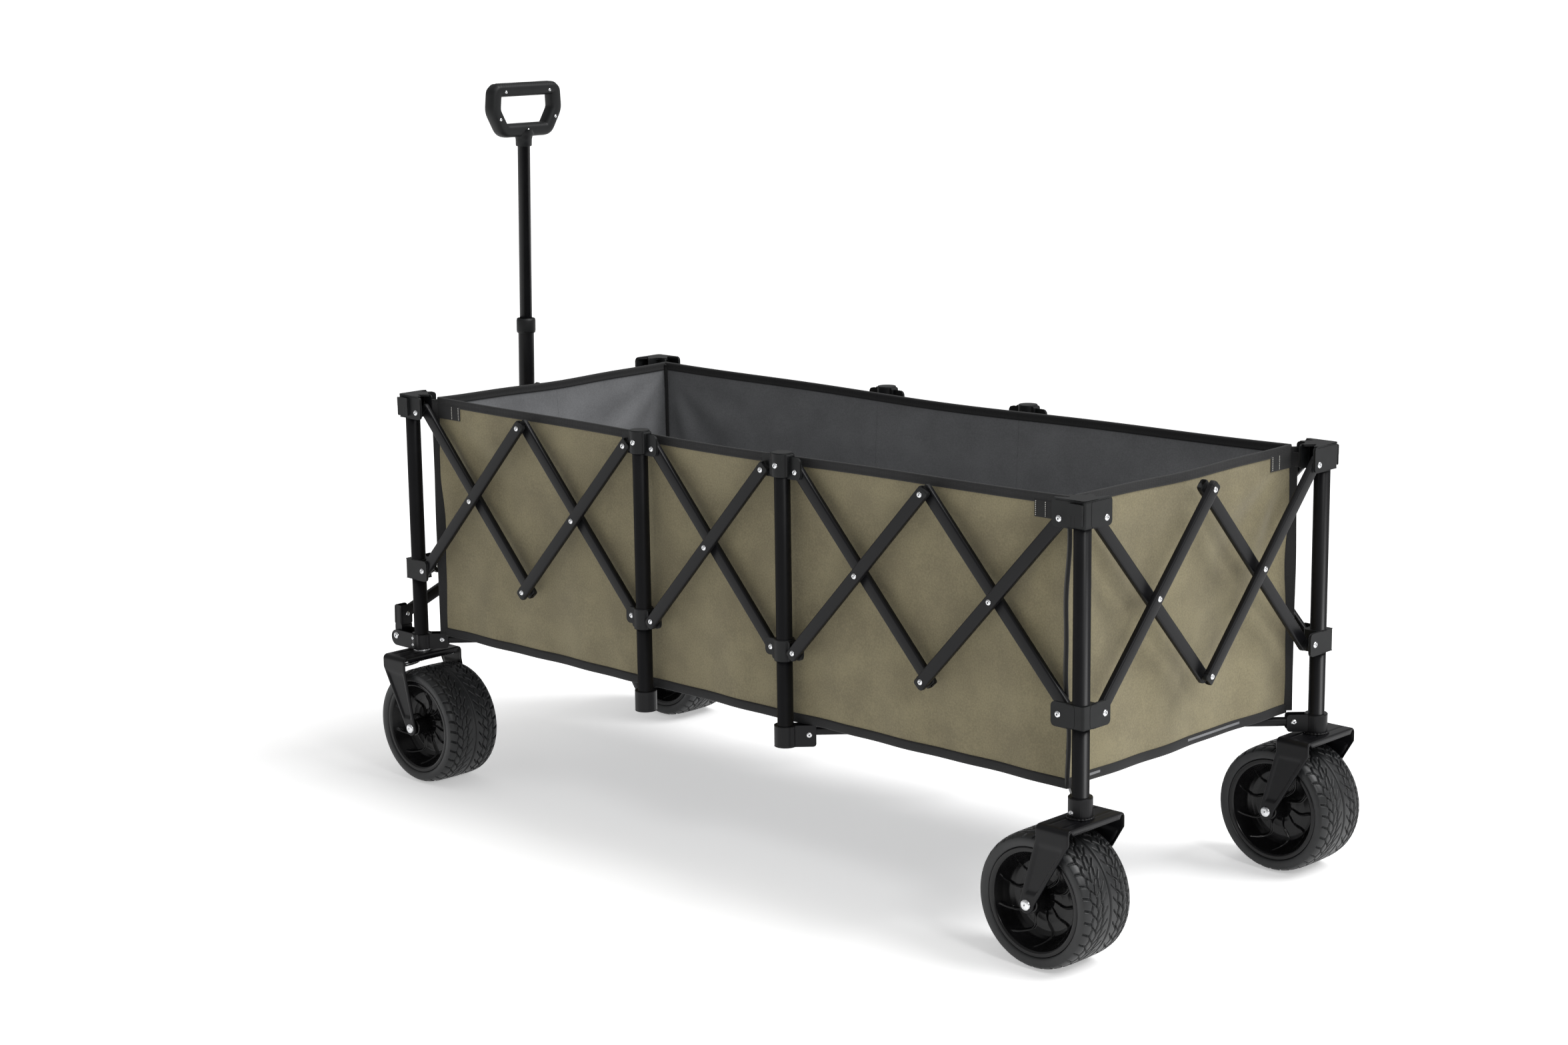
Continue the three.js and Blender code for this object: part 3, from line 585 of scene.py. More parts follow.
def bar_part(start, end, out):
    """A flat tube between two pivots: a rounded section carried from one to the other. Its
    half width follows a quarter circle over the last 4 mm, which makes square ends with
    rounded corners, and the last stretch is a plastic cap."""
    along = unit(end - start)
    across = np.cross(out, along)
    span = np.linalg.norm(end - start)
    tip = np.array([0.0, 0.03, 0.1, 0.22, 0.42, 0.7, 1.0])
    shrink = 0.72 + 0.28 * (1 - (1 - np.minimum(tip / 0.42, 1)) ** 2) ** 0.5
    reach = tip * BAR_END * 1.04 - BAR_END * 1.04
    stations = np.concatenate([reach, [span / 2], (span - reach)[::-1]])
    shrink = np.concatenate([shrink, [1.0], shrink[::-1]])
    section = rounded_outline(sizes().bar_width, sizes().bar_thickness, sizes().bar_corner)
    depth = 1 - 0.18 * (1 - shrink) ** 2
    rings = section[None] * np.stack([shrink, depth], 1)[:, None]
    body = sweep(start + stations[:, None] * along, across, out, rings)
    count = len(section)
    station_of_face = body["faces"][0][:, 0] // count
    capped = (station_of_face < len(tip) - 2) | (station_of_face > len(stations) - len(tip))
    quads = body["faces"][0]
    body["faces"] = [quads[~capped], quads[capped], *body["faces"][1:]]
    body["material"] = (0, 1, 1, 1)
    lip = 0.4 * MM
    collar = rounded_outline(
        sizes().bar_width + lip, sizes().bar_thickness + lip, sizes().bar_corner + lip / 2)
    collars = [
        sweep(np.array([p - d * 1.2 * MM, p - d * 0.2 * MM]), across, out, collar, 1)
        for p, d in ((start, -along), (end, along))
    ]
    return [body, *collars]


def bar_ends(node, side):
    """The two pivots of a bar, lower first, in the middle of its thickness."""
    low, high = (np.array(corner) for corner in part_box(node))
    right, out = side_axes(side)
    radius = BAR_END
    centre = (low + high) / 2
    half = (high - low) / 2
    rising = node.endswith("rising")
    layer = 7.3 * MM if rising else -7.3 * MM
    span = abs(half @ right) - radius
    lift = half[2] - radius
    plane = side_point(side, 0, layer, 0) @ out
    middle = centre + out * (plane - centre @ out)
    reach = right * span * (1 if rising else -1)
    return middle - reach - UP * lift, middle + reach + UP * lift


class WAGON_OT_bars(bpy.types.Operator):
    """Make the flat bars of the crossed-bar lattices, with their end caps and rivets"""

    bl_idname = "wagon.bars"
    bl_label = "Lattice bars"

    def execute(self, context):
        for side, crosses in (("near", 5), ("rear", 2), ("far", 5), ("front", 2)):
            for index in range(1, crosses + 1):
                for lie in ("rising", "falling"):
                    self.bar(f"{side}_bar_{index}_{lie}", side)
        return {"FINISHED"}

    def bar(self, node, side):
        low, high = bar_ends(node, side)
        out = side_axes(side)[1]
        face = out * (sizes().bar_thickness / 2)
        tube = make(f"{node}_tube", bar_part(low, high, out), [powder_coat(), moulded_plastic()],
                    node)
        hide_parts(node)
        if node.endswith("rising"):
            heads = [rivet(p + face, out) for p in (low, (low + high) / 2, high)]
        else:
            heads = [rivet(p - face, -out) for p in (low, (low + high) / 2, high)]
        make(f"{node}_rivets", heads, [zinc_plate()], node)


# ------------------------------------------------------------------ brackets and sliders

def collar_block(x, y, low, high, half, radius, material=0):
    """A square sleeve round a post, with rounded corners."""
    outline = rounded_outline(2 * half, 2 * half, radius, 5)
    path = np.array([[x, y, low], [x, y, high]])
    return sweep(path, (1, 0, 0), (0, 1, 0), outline, material, smooth=False)


def flange(side, post_along, towards, reach, low, high, out_low, out_high, radius):
    """A flat cheek on a side: an upright plate with rounded free corners."""
    start, end = (0.0, reach) if towards > 0 else (-reach, 0.0)
    outline = rounded_outline(end - start, high - low, radius, 4)
    right = side_axes(side)[0]
    origin = side_point(side, post_along + (start + end) / 2, (out_low + out_high) / 2, (low + high) / 2)
    return slab(outline, out_high - out_low, origin, right, UP)


def corner_of(post):
    """For a corner post: the sides that meet there, with the post's place along each side and
    the direction to the side's middle."""
    x, y = POSTS[post]
    found = []
    for side, (middle, right, _) in SIDES.items():
        along = (x - middle[0]) * right[0] + (y - middle[1]) * right[1]
        offset = abs((x - middle[0]) * SIDES[side][2][0] + (y - middle[1]) * SIDES[side][2][1])
        if offset < MM:
            found.append((side, along, -1 if along > 0 else 1))
    return found


def bracket_parts(post, low, high, top):
    """A corner's bent bracket: a sleeve block with a cheek along each side. A top bracket also
    has inner cheeks, a forked lid over both arms and the latch tab."""
    x, y = POSTS[post]
    parts = [collar_block(x, y, low, high, BLOCK_HALF - 0.4 * MM, 4 * MM)]
    for side, along, towards in corner_of(post):
        reach = (40 if side in ("near", "far") else 43.5) * MM
        parts.append(flange(side, along, towards, reach, low, high,
                            BLOCK_HALF - 4.4 * MM, BLOCK_HALF - 0.1 * MM, 6 * MM))
        if top:
            parts.append(flange(side, along, towards, reach - 5 * MM, low + 3 * MM, high,
                                -BLOCK_HALF + 0.4 * MM, -BLOCK_HALF + 3.6 * MM, 5 * MM))
    if top:
        parts.append(bracket_lid(x, y, high))
        parts += latch_tab(x, y, (low + high) / 2)
    return parts


def bracket_lid(x, y, high):
    """The lid over a top bracket: two arms at a right angle. Each arm's end is forked by a
    notch, where a bar's end shows, and the inside of the angle is a quarter-turn curve."""
    half = BLOCK_HALF - 0.3 * MM
    end_x, end_y = 38 * MM, 41 * MM
    inner = half - 2 * MM
    turn = np.linspace(0, math.pi / 2, 7)[1:-1]
    curve = [(inner + 14 * MM * (1 - math.sin(a)), inner + 14 * MM * (1 - math.cos(a))) for a in turn]
    outline = [
        (-half, -half + 5 * MM), (-half + 1.5 * MM, -half + 1.5 * MM), (-half + 5 * MM, -half),
        (end_x - 4 * MM, -half), (end_x, -half + 3.8 * MM), (end_x - 20 * MM, -4 * MM),
        (end_x - 6 * MM, inner - 5 * MM), (end_x - 7 * MM, inner), (inner + 14 * MM, inner),
        *curve,
        (inner, inner + 14 * MM), (inner, end_y - 7 * MM), (inner - 5 * MM, end_y - 6 * MM),
        (-4 * MM, end_y - 20 * MM), (-half + 3.8 * MM, end_y), (-half, end_y - 4 * MM),
    ]
    inward = (1 if x < CENTRE_X else -1, 1 if y < 0 else -1)
    return slab(np.array(outline) * inward, 3 * MM, (x, y, high - 0.6 * MM), (1, 0, 0), (0, 1, 0))


def latch_tab(x, y, z):
    """The raised tab on a bracket's long-side face near the corner: three fingers between two
    short upright slots, joined by a deep bridge above and a shallow one below."""
    inward = 1 if x < CENTRE_X else -1
    out = np.array([0, -1.0 if y < 0 else 1.0, 0])
    middle = np.array([x, y, z]) + out * (BLOCK_HALF + 1.9 * MM)
    along = np.array([1.0, 0, 0])
    parts = []
    for start, end, low, high, depth in (
        (-14, 11, 0, 15, 5.0), (-14, -3.4, -15, 2, 4.4), (-1.4, 3.2, -14, 2, 4.4),
        (5.2, 11, -15, 2, 4.4), (-12, 9, -15, -12, 3.8),
    ):
        outline = rounded_outline((end - start) * MM, (high - low) * MM, 1.3 * MM, 3)
        spot = middle + along * inward * (start + end) / 2 * MM + UP * (high + low) / 2 * MM
        parts.append(slab(outline, depth * MM, spot, along, UP))
    return parts


def corner_rivets(post, z):
    """Rivets on a corner's two cheeks, over the bars' pivots."""
    heads = []
    for side, along, towards in corner_of(post):
        ear = (28.5 if side in ("near", "far") else 32.5) * MM
        out = side_axes(side)[1]
        heads.append(rivet(side_point(side, along + towards * ear, BLOCK_HALF - 0.1 * MM, z), out, 1.1))
    return heads


def middle_bracket_parts(post, low, high, ear_low, ear_high):
    """A middle post's bracket: a round sleeve with a flat ear each way, in the plane between
    the two layers of bars."""
    x, y = POSTS[post]
    side = "near" if y < 0 else "far"
    along = (x - CENTRE_X) * SIDES[side][1][0]
    sleeve = [[15.0 * MM, low], [16.0 * MM, low + 1 * MM], [16.0 * MM, high - 1 * MM], [15.0 * MM, high]]
    parts = [lathe(sleeve, (x, y, 0), UP, 32, smooth=False)]
    ears = rounded_outline(77 * MM, ear_high - ear_low, 7 * MM, 4)
    right = side_axes(side)[0]
    parts.append(slab(ears, 4 * MM, side_point(side, along, 0, (ear_low + ear_high) / 2), right, UP))
    web = rounded_outline(36 * MM, high - low - 4 * MM, 3 * MM, 3)
    parts.append(slab(web, 16 * MM, side_point(side, along, 0, (low + high) / 2), right, UP))
    return parts


def middle_rivets(post, z, front):
    """Rivets on a middle post: over the inner bar's pivot on the ear, and on the sleeve."""
    x, y = POSTS[post]
    side = "near" if y < 0 else "far"
    along = (x - CENTRE_X) * SIDES[side][1][0]
    out = side_axes(side)[1]
    ear = 27.5 * MM * (1 if front else -1)
    heads = [rivet(side_point(side, along + ear, 2 * MM, z), out)]
    if front:
        heads.append(rivet(side_point(side, along, 15.8 * MM, z + 9 * MM), out))
    return heads


def tube_part(x, y, low, high, radius):
    """A round tube with a closed, slightly rounded top."""
    profile = [[radius, low], [radius, high - 1 * MM], [radius - 1 * MM, high]]
    return lathe(profile, (x, y, 0), UP, 40)


def link_direction(post):
    """From a post's foot towards its base hub."""
    x, y = POSTS[post]
    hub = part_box("base_front" if x < CENTRE_X else "base_rear")
    return unit([(hub[0][0] + hub[1][0]) / 2 - x, -y, 0.0])


def foot_parts(post, low, high):
    """A post's foot: a sleeve and a folded ear that holds the end of a base link."""
    x, y = POSTS[post]
    along = link_direction(post)
    sideways = np.cross(UP, along)
    profile = [[17.0 * MM, low], [17.6 * MM, low + 1 * MM], [17.6 * MM, high - 1 * MM], [17.0 * MM, high]]
    parts = [lathe(profile, (x, y, 0), UP, 32, smooth=False)]
    outline = rounded_outline(48 * MM, high - low - 1 * MM, 4 * MM, 3)
    for offset in (-8.6, 8.6):
        origin = np.array([x, y, (low + high) / 2]) + along * 22 * MM + sideways * offset * MM
        parts.append(slab(outline, 2.6 * MM, origin, along, UP))
    return parts


def foot_rivets(post, z):
    x, y = POSTS[post]
    along = link_direction(post)
    sideways = np.cross(UP, along)
    origin = np.array([x, y, z]) + along * 36 * MM
    return [rivet(origin + sign * sideways * 9.9 * MM, sign * sideways) for sign in (-1, 1)]


def handle_plate_parts(post):
    """The twin plates on a front post's foot that hold the handle's tilt pin."""
    x, y = POSTS[post]
    tilt = JOINTS["handle_tilt"]["pos_m"]
    reach = x - tilt[0]
    turn = np.linspace(math.pi / 2, 1.5 * math.pi, 13)
    radius = (FOOT_HIGH_Z - FOOT_LOW_Z) / 2
    nose = np.stack([-reach + radius * np.cos(turn), radius * np.sin(turn)], 1)
    outline = np.concatenate([nose, [[10 * MM, -radius], [10 * MM, radius]]])
    middle = (FOOT_LOW_Z + FOOT_HIGH_Z) / 2
    parts = []
    heads = []
    for sign in (-1, 1):
        origin = (x, y + sign * 14.9 * MM, middle)
        parts.append(slab(outline, 3.4 * MM, origin, (1, 0, 0), UP))
        face = np.array([x, y + sign * 16.6 * MM, middle])
        out = np.array([0, sign, 0.0])
        heads.append(rivet(face + [-reach, 0, tilt[2] - middle], out, 1.35))
        heads += [rivet(face + [-4 * MM, 0, dz * MM], out, 0.75) for dz in (-6, 6)]
    return parts, heads


class WAGON_OT_posts(bpy.types.Operator):
    """Make the eight posts with their top brackets, feet and rivets"""

    bl_idname = "wagon.posts"
    bl_label = "Posts and brackets"

    def execute(self, context):
        for post, (x, y) in POSTS.items():
            middle = "mid" in post
            front = "front" in post and not middle
            low = MID_TUBE_LOW_Z if middle else TUBE_LOW_Z
            if front:
                low = CROWN_Z + 3.3 * MM
            tube = make(f"{post}_tube", [tube_part(x, y, low, TUBE_TOP_Z, sizes().tube_radius)],
                        [powder_coat()], post)
            self.bracket(post, middle)
            self.foot(post, middle, front)
            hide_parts(post)
        return {"FINISHED"}

    def bracket(self, post, middle):
        if middle:
            parts = middle_bracket_parts(post, BRACKET_LOW_Z, BRACKET_HIGH_Z, EAR_LOW_Z, EAR_HIGH_Z)
            heads = middle_rivets(post, TOP_PIVOT_Z, True)
        else:
            parts = bracket_parts(post, BRACKET_LOW_Z - 2 * MM, BRACKET_HIGH_Z, True)
            heads = corner_rivets(post, TOP_PIVOT_Z)
        make(f"{post}_top_bracket", parts, [moulded_plastic()], post, 0.9 * MM)
        make(f"{post}_top_rivets", heads, [zinc_plate()], post)

    def foot(self, post, middle, front):
        x, y = POSTS[post]
        low, high = (MID_FOOT_LOW_Z, MID_FOOT_HIGH_Z) if middle else (FOOT_LOW_Z, FOOT_HIGH_Z)
        parts = foot_parts(post, low, high)
        heads = foot_rivets(post, (low + high) / 2 + 2 * MM)
        if front:
            plates, extra = handle_plate_parts(post)
            parts += plates
            heads += extra
        if not middle and not front:
            sleeve = [
                [17.4 * MM, CROWN_Z + 1 * MM],
                [17.4 * MM, FOOT_HIGH_Z],
                [16.4 * MM, FOOT_HIGH_Z + 1 * MM],
            ]
            parts.append(lathe(sleeve, (x, y, 0), UP, 36))
            out = np.array([0, -1.0 if y < 0 else 1.0, 0])
            heads.append(rivet((x - 3 * MM, y + out[1] * 17.2 * MM, SLEEVE_RIVET_Z), out, 0.85))
        make(f"{post}_foot", parts, [powder_coat()], post, 0.8 * MM)
        make(f"{post}_foot_rivets", heads, [zinc_plate()], post)


class WAGON_OT_sliders(bpy.types.Operator):
    """Make the eight sliders that carry the bars' lower ends"""

    bl_idname = "wagon.sliders"
    bl_label = "Sliders"

    def execute(self, context):
        low, high = SLIDER_Z - 17 * MM, SLIDER_Z + 17 * MM
        for post in POSTS:
            slider = post.replace("post", "slider")
            if "mid" in post:
                parts = middle_bracket_parts(post, low, high, SLIDER_Z - 12 * MM, SLIDER_Z + 13 * MM)
                heads = middle_rivets(post, SLIDER_Z, False)
            else:
                parts = bracket_parts(post, low, high, False)
                heads = corner_rivets(post, SLIDER_Z)
            shell = make(f"{slider}_shell", parts, [moulded_plastic()], slider, 0.9 * MM)
            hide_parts(slider)
            make(f"{slider}_rivets", heads, [zinc_plate()], slider)
        return {"FINISHED"}


# ------------------------------------------------------------------ wheels

def smooth_step(value, low, high):
    t = np.clip((value - low) / (high - low), 0, 1)
    return t * t * (3 - 2 * t)


def groove(distance, width):
    """1 in the middle of a groove and 0 outside it, with steep walls."""
    return np.exp(-(np.abs(distance) / (width / 2)) ** 4)


def tread_cut(angle, y):
    """Depth of the tread's grooves, from 0 to 1, at an angle round the tyre and a distance
    from its middle: three zigzag grooves each side of a smooth channel, and slanting cross
    grooves that step from row to row."""
    away = np.abs(y) / MM
    rows = 34
    pitch = 2 * math.pi * 100 / rows
    depth = np.zeros(np.broadcast(angle, y).shape)
    for index, line in enumerate((17.5, 28.0, 38.5)):
        zigzag = np.abs(((angle * rows / (2 * math.pi) + 0.3 * index) % 1.0) - 0.5) * 4 - 1
        depth = np.maximum(depth, groove(away - line - 1.5 * zigzag, 3.0))
    band = np.digitize(away, [17.5, 28.0, 38.5])
    across = (away - np.array([12.0, 22.8, 33.2, 45.0])[band]) / 10.5
    slant = np.array([0.75, 0.75, -0.6, -0.2])[band] * across
    phase = (angle * rows / (2 * math.pi) + slant + np.array([0.0, 0.45, 0.2, 0.6])[band]
             + 0.5 * (y > 0)) % 1.0
    along = np.minimum(phase, 1 - phase) * pitch
    depth = np.maximum(depth, groove(along, 3.2))
    depth = depth * smooth_step(away, 6.0, 7.2) * (1 - smooth_step(away, 50.0, 51.0))
    return np.maximum(depth, 0.8 * (1 - smooth_step(away, 1.2, 2.6)))


def tyre_part(centre):
    """The tyre: a broad tread with rounded shoulders and side walls. The outline goes round
    the section, and the tread's grooves are cut along the radius."""
    tread = np.linspace(-1, 1, 117)
    width = 51 * MM
    radius = AXLE_Z
    y_tread = tread * width
    fall = 5 * MM * np.abs(tread) ** 9 + 1.2 * MM * tread ** 2
    wall_t = np.linspace(0, 1, 9)[1:]
    wall_r = radius - 6.2 * MM - wall_t * 13.2 * MM
    wall_y = width + (1.2 * np.sin(math.pi * wall_t) - 0.4 * wall_t) * MM
    inner_y = np.linspace(1, -1, 5)[1:-1] * (width - 3 * MM)
    r = np.concatenate([radius - fall, wall_r, np.full(3, 77 * MM), wall_r[::-1]])
    y = np.concatenate([y_tread, wall_y, inner_y, -wall_y[::-1]])
    segments = 576
    angle = np.linspace(0, 2 * math.pi, segments, endpoint=False)
    theta, yy = np.meshgrid(angle, y, indexing="ij")
    rr = np.broadcast_to(r, theta.shape).copy()
    on_tread = np.arange(len(y)) < len(tread)
    rr[:, on_tread] -= sizes().tread_depth * tread_cut(theta[:, on_tread], yy[:, on_tread])
    points = np.stack([rr * np.cos(theta), yy, rr * np.sin(theta)], -1).reshape(-1, 3)
    return part(points + centre, [grid_faces(segments, len(y), True, True)])


def rim_part(centre):
    """The dished rim: a closed outline of radius against width, turned round the axle. On both
    dishes ten ribs follow S-shaped lines from the hub to the dish's wall."""
    half = [
        (5.6, 57.0), (13.0, 57.0), (14.2, 55.8), (15.0, 28.0), (18.0, 21.0), (26.0, 17.6),
        (38.0, 16.0), (50.0, 16.6), (56.0, 19.0), (61.0, 25.0), (66.0, 35.0), (70.0, 44.0),
        (72.0, 48.6), (74.0, 49.8), (79.0, 50.0), (80.2, 48.6), (80.4, 44.0),
    ]
    fine = []
    for (r0, y0), (r1, y1) in zip(half[:-1], half[1:]):
        steps = max(2, int(math.hypot(r1 - r0, y1 - y0) / 1.6))
        t = np.linspace(0, 1, steps, endpoint=False)[:, None]
        fine.append(np.array([[r0, y0]]) * (1 - t) + np.array([[r1, y1]]) * t)
    outline = np.concatenate(fine + [[half[-1]]]) * MM
    profile = np.concatenate([outline, outline[::-1] * [1, -1]])
    segments = 360
    angle = np.linspace(0, 2 * math.pi, segments, endpoint=False)
    theta, r = np.meshgrid(angle, profile[:, 0], indexing="ij")
    y = np.broadcast_to(profile[:, 1], theta.shape).copy()
    share = np.clip((r / MM - 15) / 53, 0, 1)
    lean = 0.36 * share + 0.17 * np.sin(2 * math.pi * share)
    ribs = 10
    phase = ((theta - np.sign(y) * lean) * ribs / (2 * math.pi)) % 1.0
    off = np.minimum(phase, 1 - phase) * 2 * math.pi * r / ribs
    face = smooth_step(r, 15 * MM, 20 * MM) * (1 - smooth_step(r, 66 * MM, 70 * MM))
    y += np.sign(y) * 4.0 * MM * face * np.exp(-(off / (1.2 * MM)) ** 2)
    points = np.stack([r * np.cos(theta), y, r * np.sin(theta)], -1).reshape(-1, 3)
    return part(points + centre, [grid_faces(segments, len(profile), True, True)])


class WAGON_OT_wheels(bpy.types.Operator):
    """Make the four wheels: treaded tyres on dished, ribbed rims"""

    bl_idname = "wagon.wheels"
    bl_label = "Wheels"

    def execute(self, context):
        tyre, rim = tyre_part(np.zeros(3)), rim_part(np.zeros(3))
        for end in ("front", "rear"):
            for side in ("near", "far"):
                node = f"wheel_{end}_{side}"
                centre = np.array(JOINTS[f"wheel_spin_{end}_{side}"]["pos_m"])
                placed = {**tyre, "points": tyre["points"] + centre}
                skin = make(f"{node}_tyre", [placed], [tyre_rubber()], node)
                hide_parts(node)
                placed = {**rim, "points": rim["points"] + centre}
                make(f"{node}_rim", [placed], [glossy_rim()], node)
        return {"FINISHED"}


# ------------------------------------------------------------------ forks and brakes

def fork_sheet(x, y, offset):
    """A fork bent from one plate. The path goes up one arm, over the crown and down the
    other. Across it, the plate is flat between two edges that turn inwards as lips. The
    arms taper in a straight line from the crown to the axle, and a shallow pocket is pressed
    into each."""
    half = FORK_HALF
    bend = 8 * MM
    arm_z = np.concatenate([
        AXLE_Z - 13 * MM * np.cos(np.linspace(0.12, math.pi / 2, 9)),
        np.linspace(AXLE_Z + 3 * MM, CROWN_Z - bend, 40),
    ])
    turn = np.linspace(0, math.pi / 2, 7)[1:]
    bend_y = -half + bend - bend * np.cos(turn)
    bend_z = CROWN_Z - bend + bend * np.sin(turn)
    path_y = np.concatenate([np.full(len(arm_z), -half), bend_y, np.linspace(-half + bend, 0, 14)[1:]])
    path_z = np.concatenate([arm_z, bend_z, np.full(13, CROWN_Z)])
    path_y = np.concatenate([path_y, -path_y[::-1][1:]])
    path_z = np.concatenate([path_z, path_z[::-1][1:]])
    count = len(path_y)
    tangent = np.gradient(np.stack([path_y, path_z], 1), axis=0)
    tangent /= np.linalg.norm(tangent, axis=1)[:, None]
    inward = np.stack([np.zeros(count), tangent[:, 1], -tangent[:, 0]], 1)
    top, low = CROWN_Z - 22 * MM, AXLE_Z
    share = np.clip((top - path_z) / (top - low), 0, 1)
    width = 29 * MM + (13 * MM - 29 * MM) * share
    below = np.clip(AXLE_Z - path_z, 0, 12.9 * MM)
    width = np.where(path_z < AXLE_Z, np.sqrt((13 * MM) ** 2 - below ** 2), width)
    centre = offset * share
    lip = np.where(np.abs(path_y) < half - bend, 9 * MM, 3.2 * MM)
    lip = np.minimum(lip, width * 0.8)
    edge = 2.2 * MM
    arc = np.linspace(0, math.pi / 2, 5)
    flat = np.linspace(-1, 1, 33)
    q_flat = flat[None] * (width - edge)[:, None]
    q_arc = (width - edge)[:, None] + edge * np.sin(arc)[None, 1:]
    d_arc = np.broadcast_to(edge * (1 - np.cos(arc))[None, 1:], q_arc.shape)
    q = np.concatenate([-width[:, None], -q_arc[:, ::-1], q_flat, q_arc, width[:, None]], 1)
    d = np.concatenate([lip[:, None], d_arc[:, ::-1], np.zeros_like(q_flat), d_arc, lip[:, None]], 1)
    on_arm = smooth_step(CROWN_Z - path_z, 26 * MM, 34 * MM) * smooth_step(path_z - AXLE_Z, 15 * MM, 23 * MM)
    inset = width[:, None] - np.abs(q)
    d = d + 2.4 * MM * on_arm[:, None] * smooth_step(inset, 5.5 * MM, 8.5 * MM)
    groove_line = 12.8 * MM
    on_crown = (np.abs(path_y) < half - bend - 2 * MM).astype(float)
    ridge = groove(np.abs(q) - groove_line, 4 * MM) * on_crown[:, None]
    d = d + 0.9 * MM * ridge
    base = np.stack([np.zeros(count) + x, path_y + y, path_z], 1)
    points = base[:, None] + (centre[:, None] + q)[..., None] * np.array([1.0, 0, 0])
    points = points + d[..., None] * inward[:, None]
    faces = grid_faces(count, q.shape[1])
    return part(points, [faces], closed=False)


def fork(name, body, x, y, offset):
    """A fork with its plate, axle heads and nuts."""
    sheet = fork_sheet(x, y, offset)
    plate = make(f"{name}_plate", [sheet], [powder_coat()], body)
    wall = plate.modifiers.new("Plate thickness", "SOLIDIFY")
    wall.thickness = 3 * MM
    wall.offset = 1.0 if normals_point_in(sheet) else -1.0
    heads = []
    for sign in (-1, 1):
        out = np.array([0, sign, 0.0])
        face = np.array([x + offset, y + sign * FORK_HALF, AXLE_Z])
        profile = [[8, -1], [8, 1.2], [7.6, 2.0], [6.6, 2.6], [3.2, 3.2], [1, 3.3]]
        heads.append(lathe(np.array(profile) * MM, face, out, 28))
    heads.append(lathe(np.array([[4.6, -63], [4.6, 63]]) * MM, (x + offset, y, AXLE_Z), (0, 1, 0), 20))
    make(f"{name}_axle", heads, [zinc_plate()], body)
    return plate


def normals_point_in(sheet):
    """True if a sheet's faces point away from its own middle's inside, that is, inwards."""
    points, quads = sheet["points"], sheet["faces"][0]
    corners = points[quads]
    normal = np.cross(corners[:, 1] - corners[:, 0], corners[:, 3] - corners[:, 0])
    return float(np.einsum("ij,ij->", normal, corners.mean(1) - points.mean(0))) < 0


class WAGON_OT_forks(bpy.types.Operator):
    """Make the four forks, the swivel washers and the welded sleeves' beads"""

    bl_idname = "wagon.forks"
    bl_label = "Forks"

    def execute(self, context):
        for side in ("near", "far"):
            swivel = np.array(JOINTS[f"caster_swivel_{side}"]["pos_m"])
            axle = JOINTS[f"wheel_spin_front_{side}"]["pos_m"]
            body = f"caster_{side}"
            plate = fork(body, body, swivel[0], swivel[1], axle[0] - swivel[0])
            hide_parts(body)
            rings = [
                lathe(np.array([[14.6, 0.2], [15.2, 0.8], [15.2, 2.4], [14.6, 3.0]]) * MM, swivel, UP, 36),
                lathe(np.array([[9, -9], [9.6, -8.4], [9.6, -3], [13, -2.8]]) * MM, swivel, UP, 6),
            ]
            make(f"{body}_washer", rings, [zinc_plate()], body)
            post = f"post_rear_{side}"
            x, y = POSTS[post]
            axle = JOINTS[f"wheel_spin_rear_{side}"]["pos_m"]
            fork(f"{post}_fork", post, x, y, axle[0] - x)
            make(f"{post}_weld", [weld_part(x, y)], [powder_coat()], post)
        return {"FINISHED"}


def weld_part(x, y):
    """A bead of weld round a sleeve's foot: a ring whose thickness ripples as it was laid."""
    turns = np.linspace(0, 2 * math.pi, 90, endpoint=False)
    around = np.stack([np.cos(turns), np.sin(turns), np.zeros(90)], 1)
    path = np.array([x, y, CROWN_Z + 0.8 * MM]) + around * 17.6 * MM
    ring = np.linspace(0, 2 * math.pi, 10, endpoint=False)
    size = (2.3 + 0.45 * np.sin(turns * 22) + 0.3 * np.sin(turns * 3 + 1)) * MM
    section = size[:, None, None] * np.stack([np.cos(ring), np.sin(ring)], 1)[None]
    return sweep(path, around, UP, section, closed_path=True)


class WAGON_OT_brakes(bpy.types.Operator):
    """Make the two brakes: a zinc pressing on a barrel, with a black pedal pad"""

    bl_idname = "wagon.brakes"
    bl_label = "Brakes"

    def execute(self, context):
        for side in ("near", "far"):
            body = f"brake_{side}"
            pivot = np.array(JOINTS[f"brake_press_{side}"]["pos_m"])
            slope = math.radians(PEDAL_SLOPE)
            along = np.array([-math.cos(slope), 0, -math.sin(slope)])
            face = np.array([0, 1.0, 0])
            pressing = [
                lathe(np.array([[4, -60], [4, 60]]) * MM, pivot, (0, 1, 0), 20),
                slab(rounded_outline(38 * MM, 34 * MM, 5 * MM), 2.4 * MM,
                     pivot + along * 20 * MM, along, face),
            ]
            pressing += [
                slab(rounded_outline(34 * MM, 9 * MM, 3 * MM), 2.2 * MM,
                     pivot + along * 20 * MM + face * s * 16 * MM + UP * 3 * MM, along, UP)
                for s in (-1, 1)
            ]
            zinc = make(f"{body}_pressing", pressing, [zinc_plate()], body, 0.5 * MM)
            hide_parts(body)
            pad = [slab(rounded_outline(30 * MM, 31 * MM, 5 * MM), 4.6 * MM,
                        pivot + along * 52 * MM, along, face)]
            pad += [
                slab(rounded_outline(2.2 * MM, 26 * MM, 0.8 * MM, 2), 6.2 * MM,
                     pivot + along * d * MM, along, face)
                for d in (44, 49, 54, 59)
            ]
            make(f"{body}_pad", pad, [moulded_plastic()], body, 0.5 * MM)
        return {"FINISHED"}


# ------------------------------------------------------------------ basket

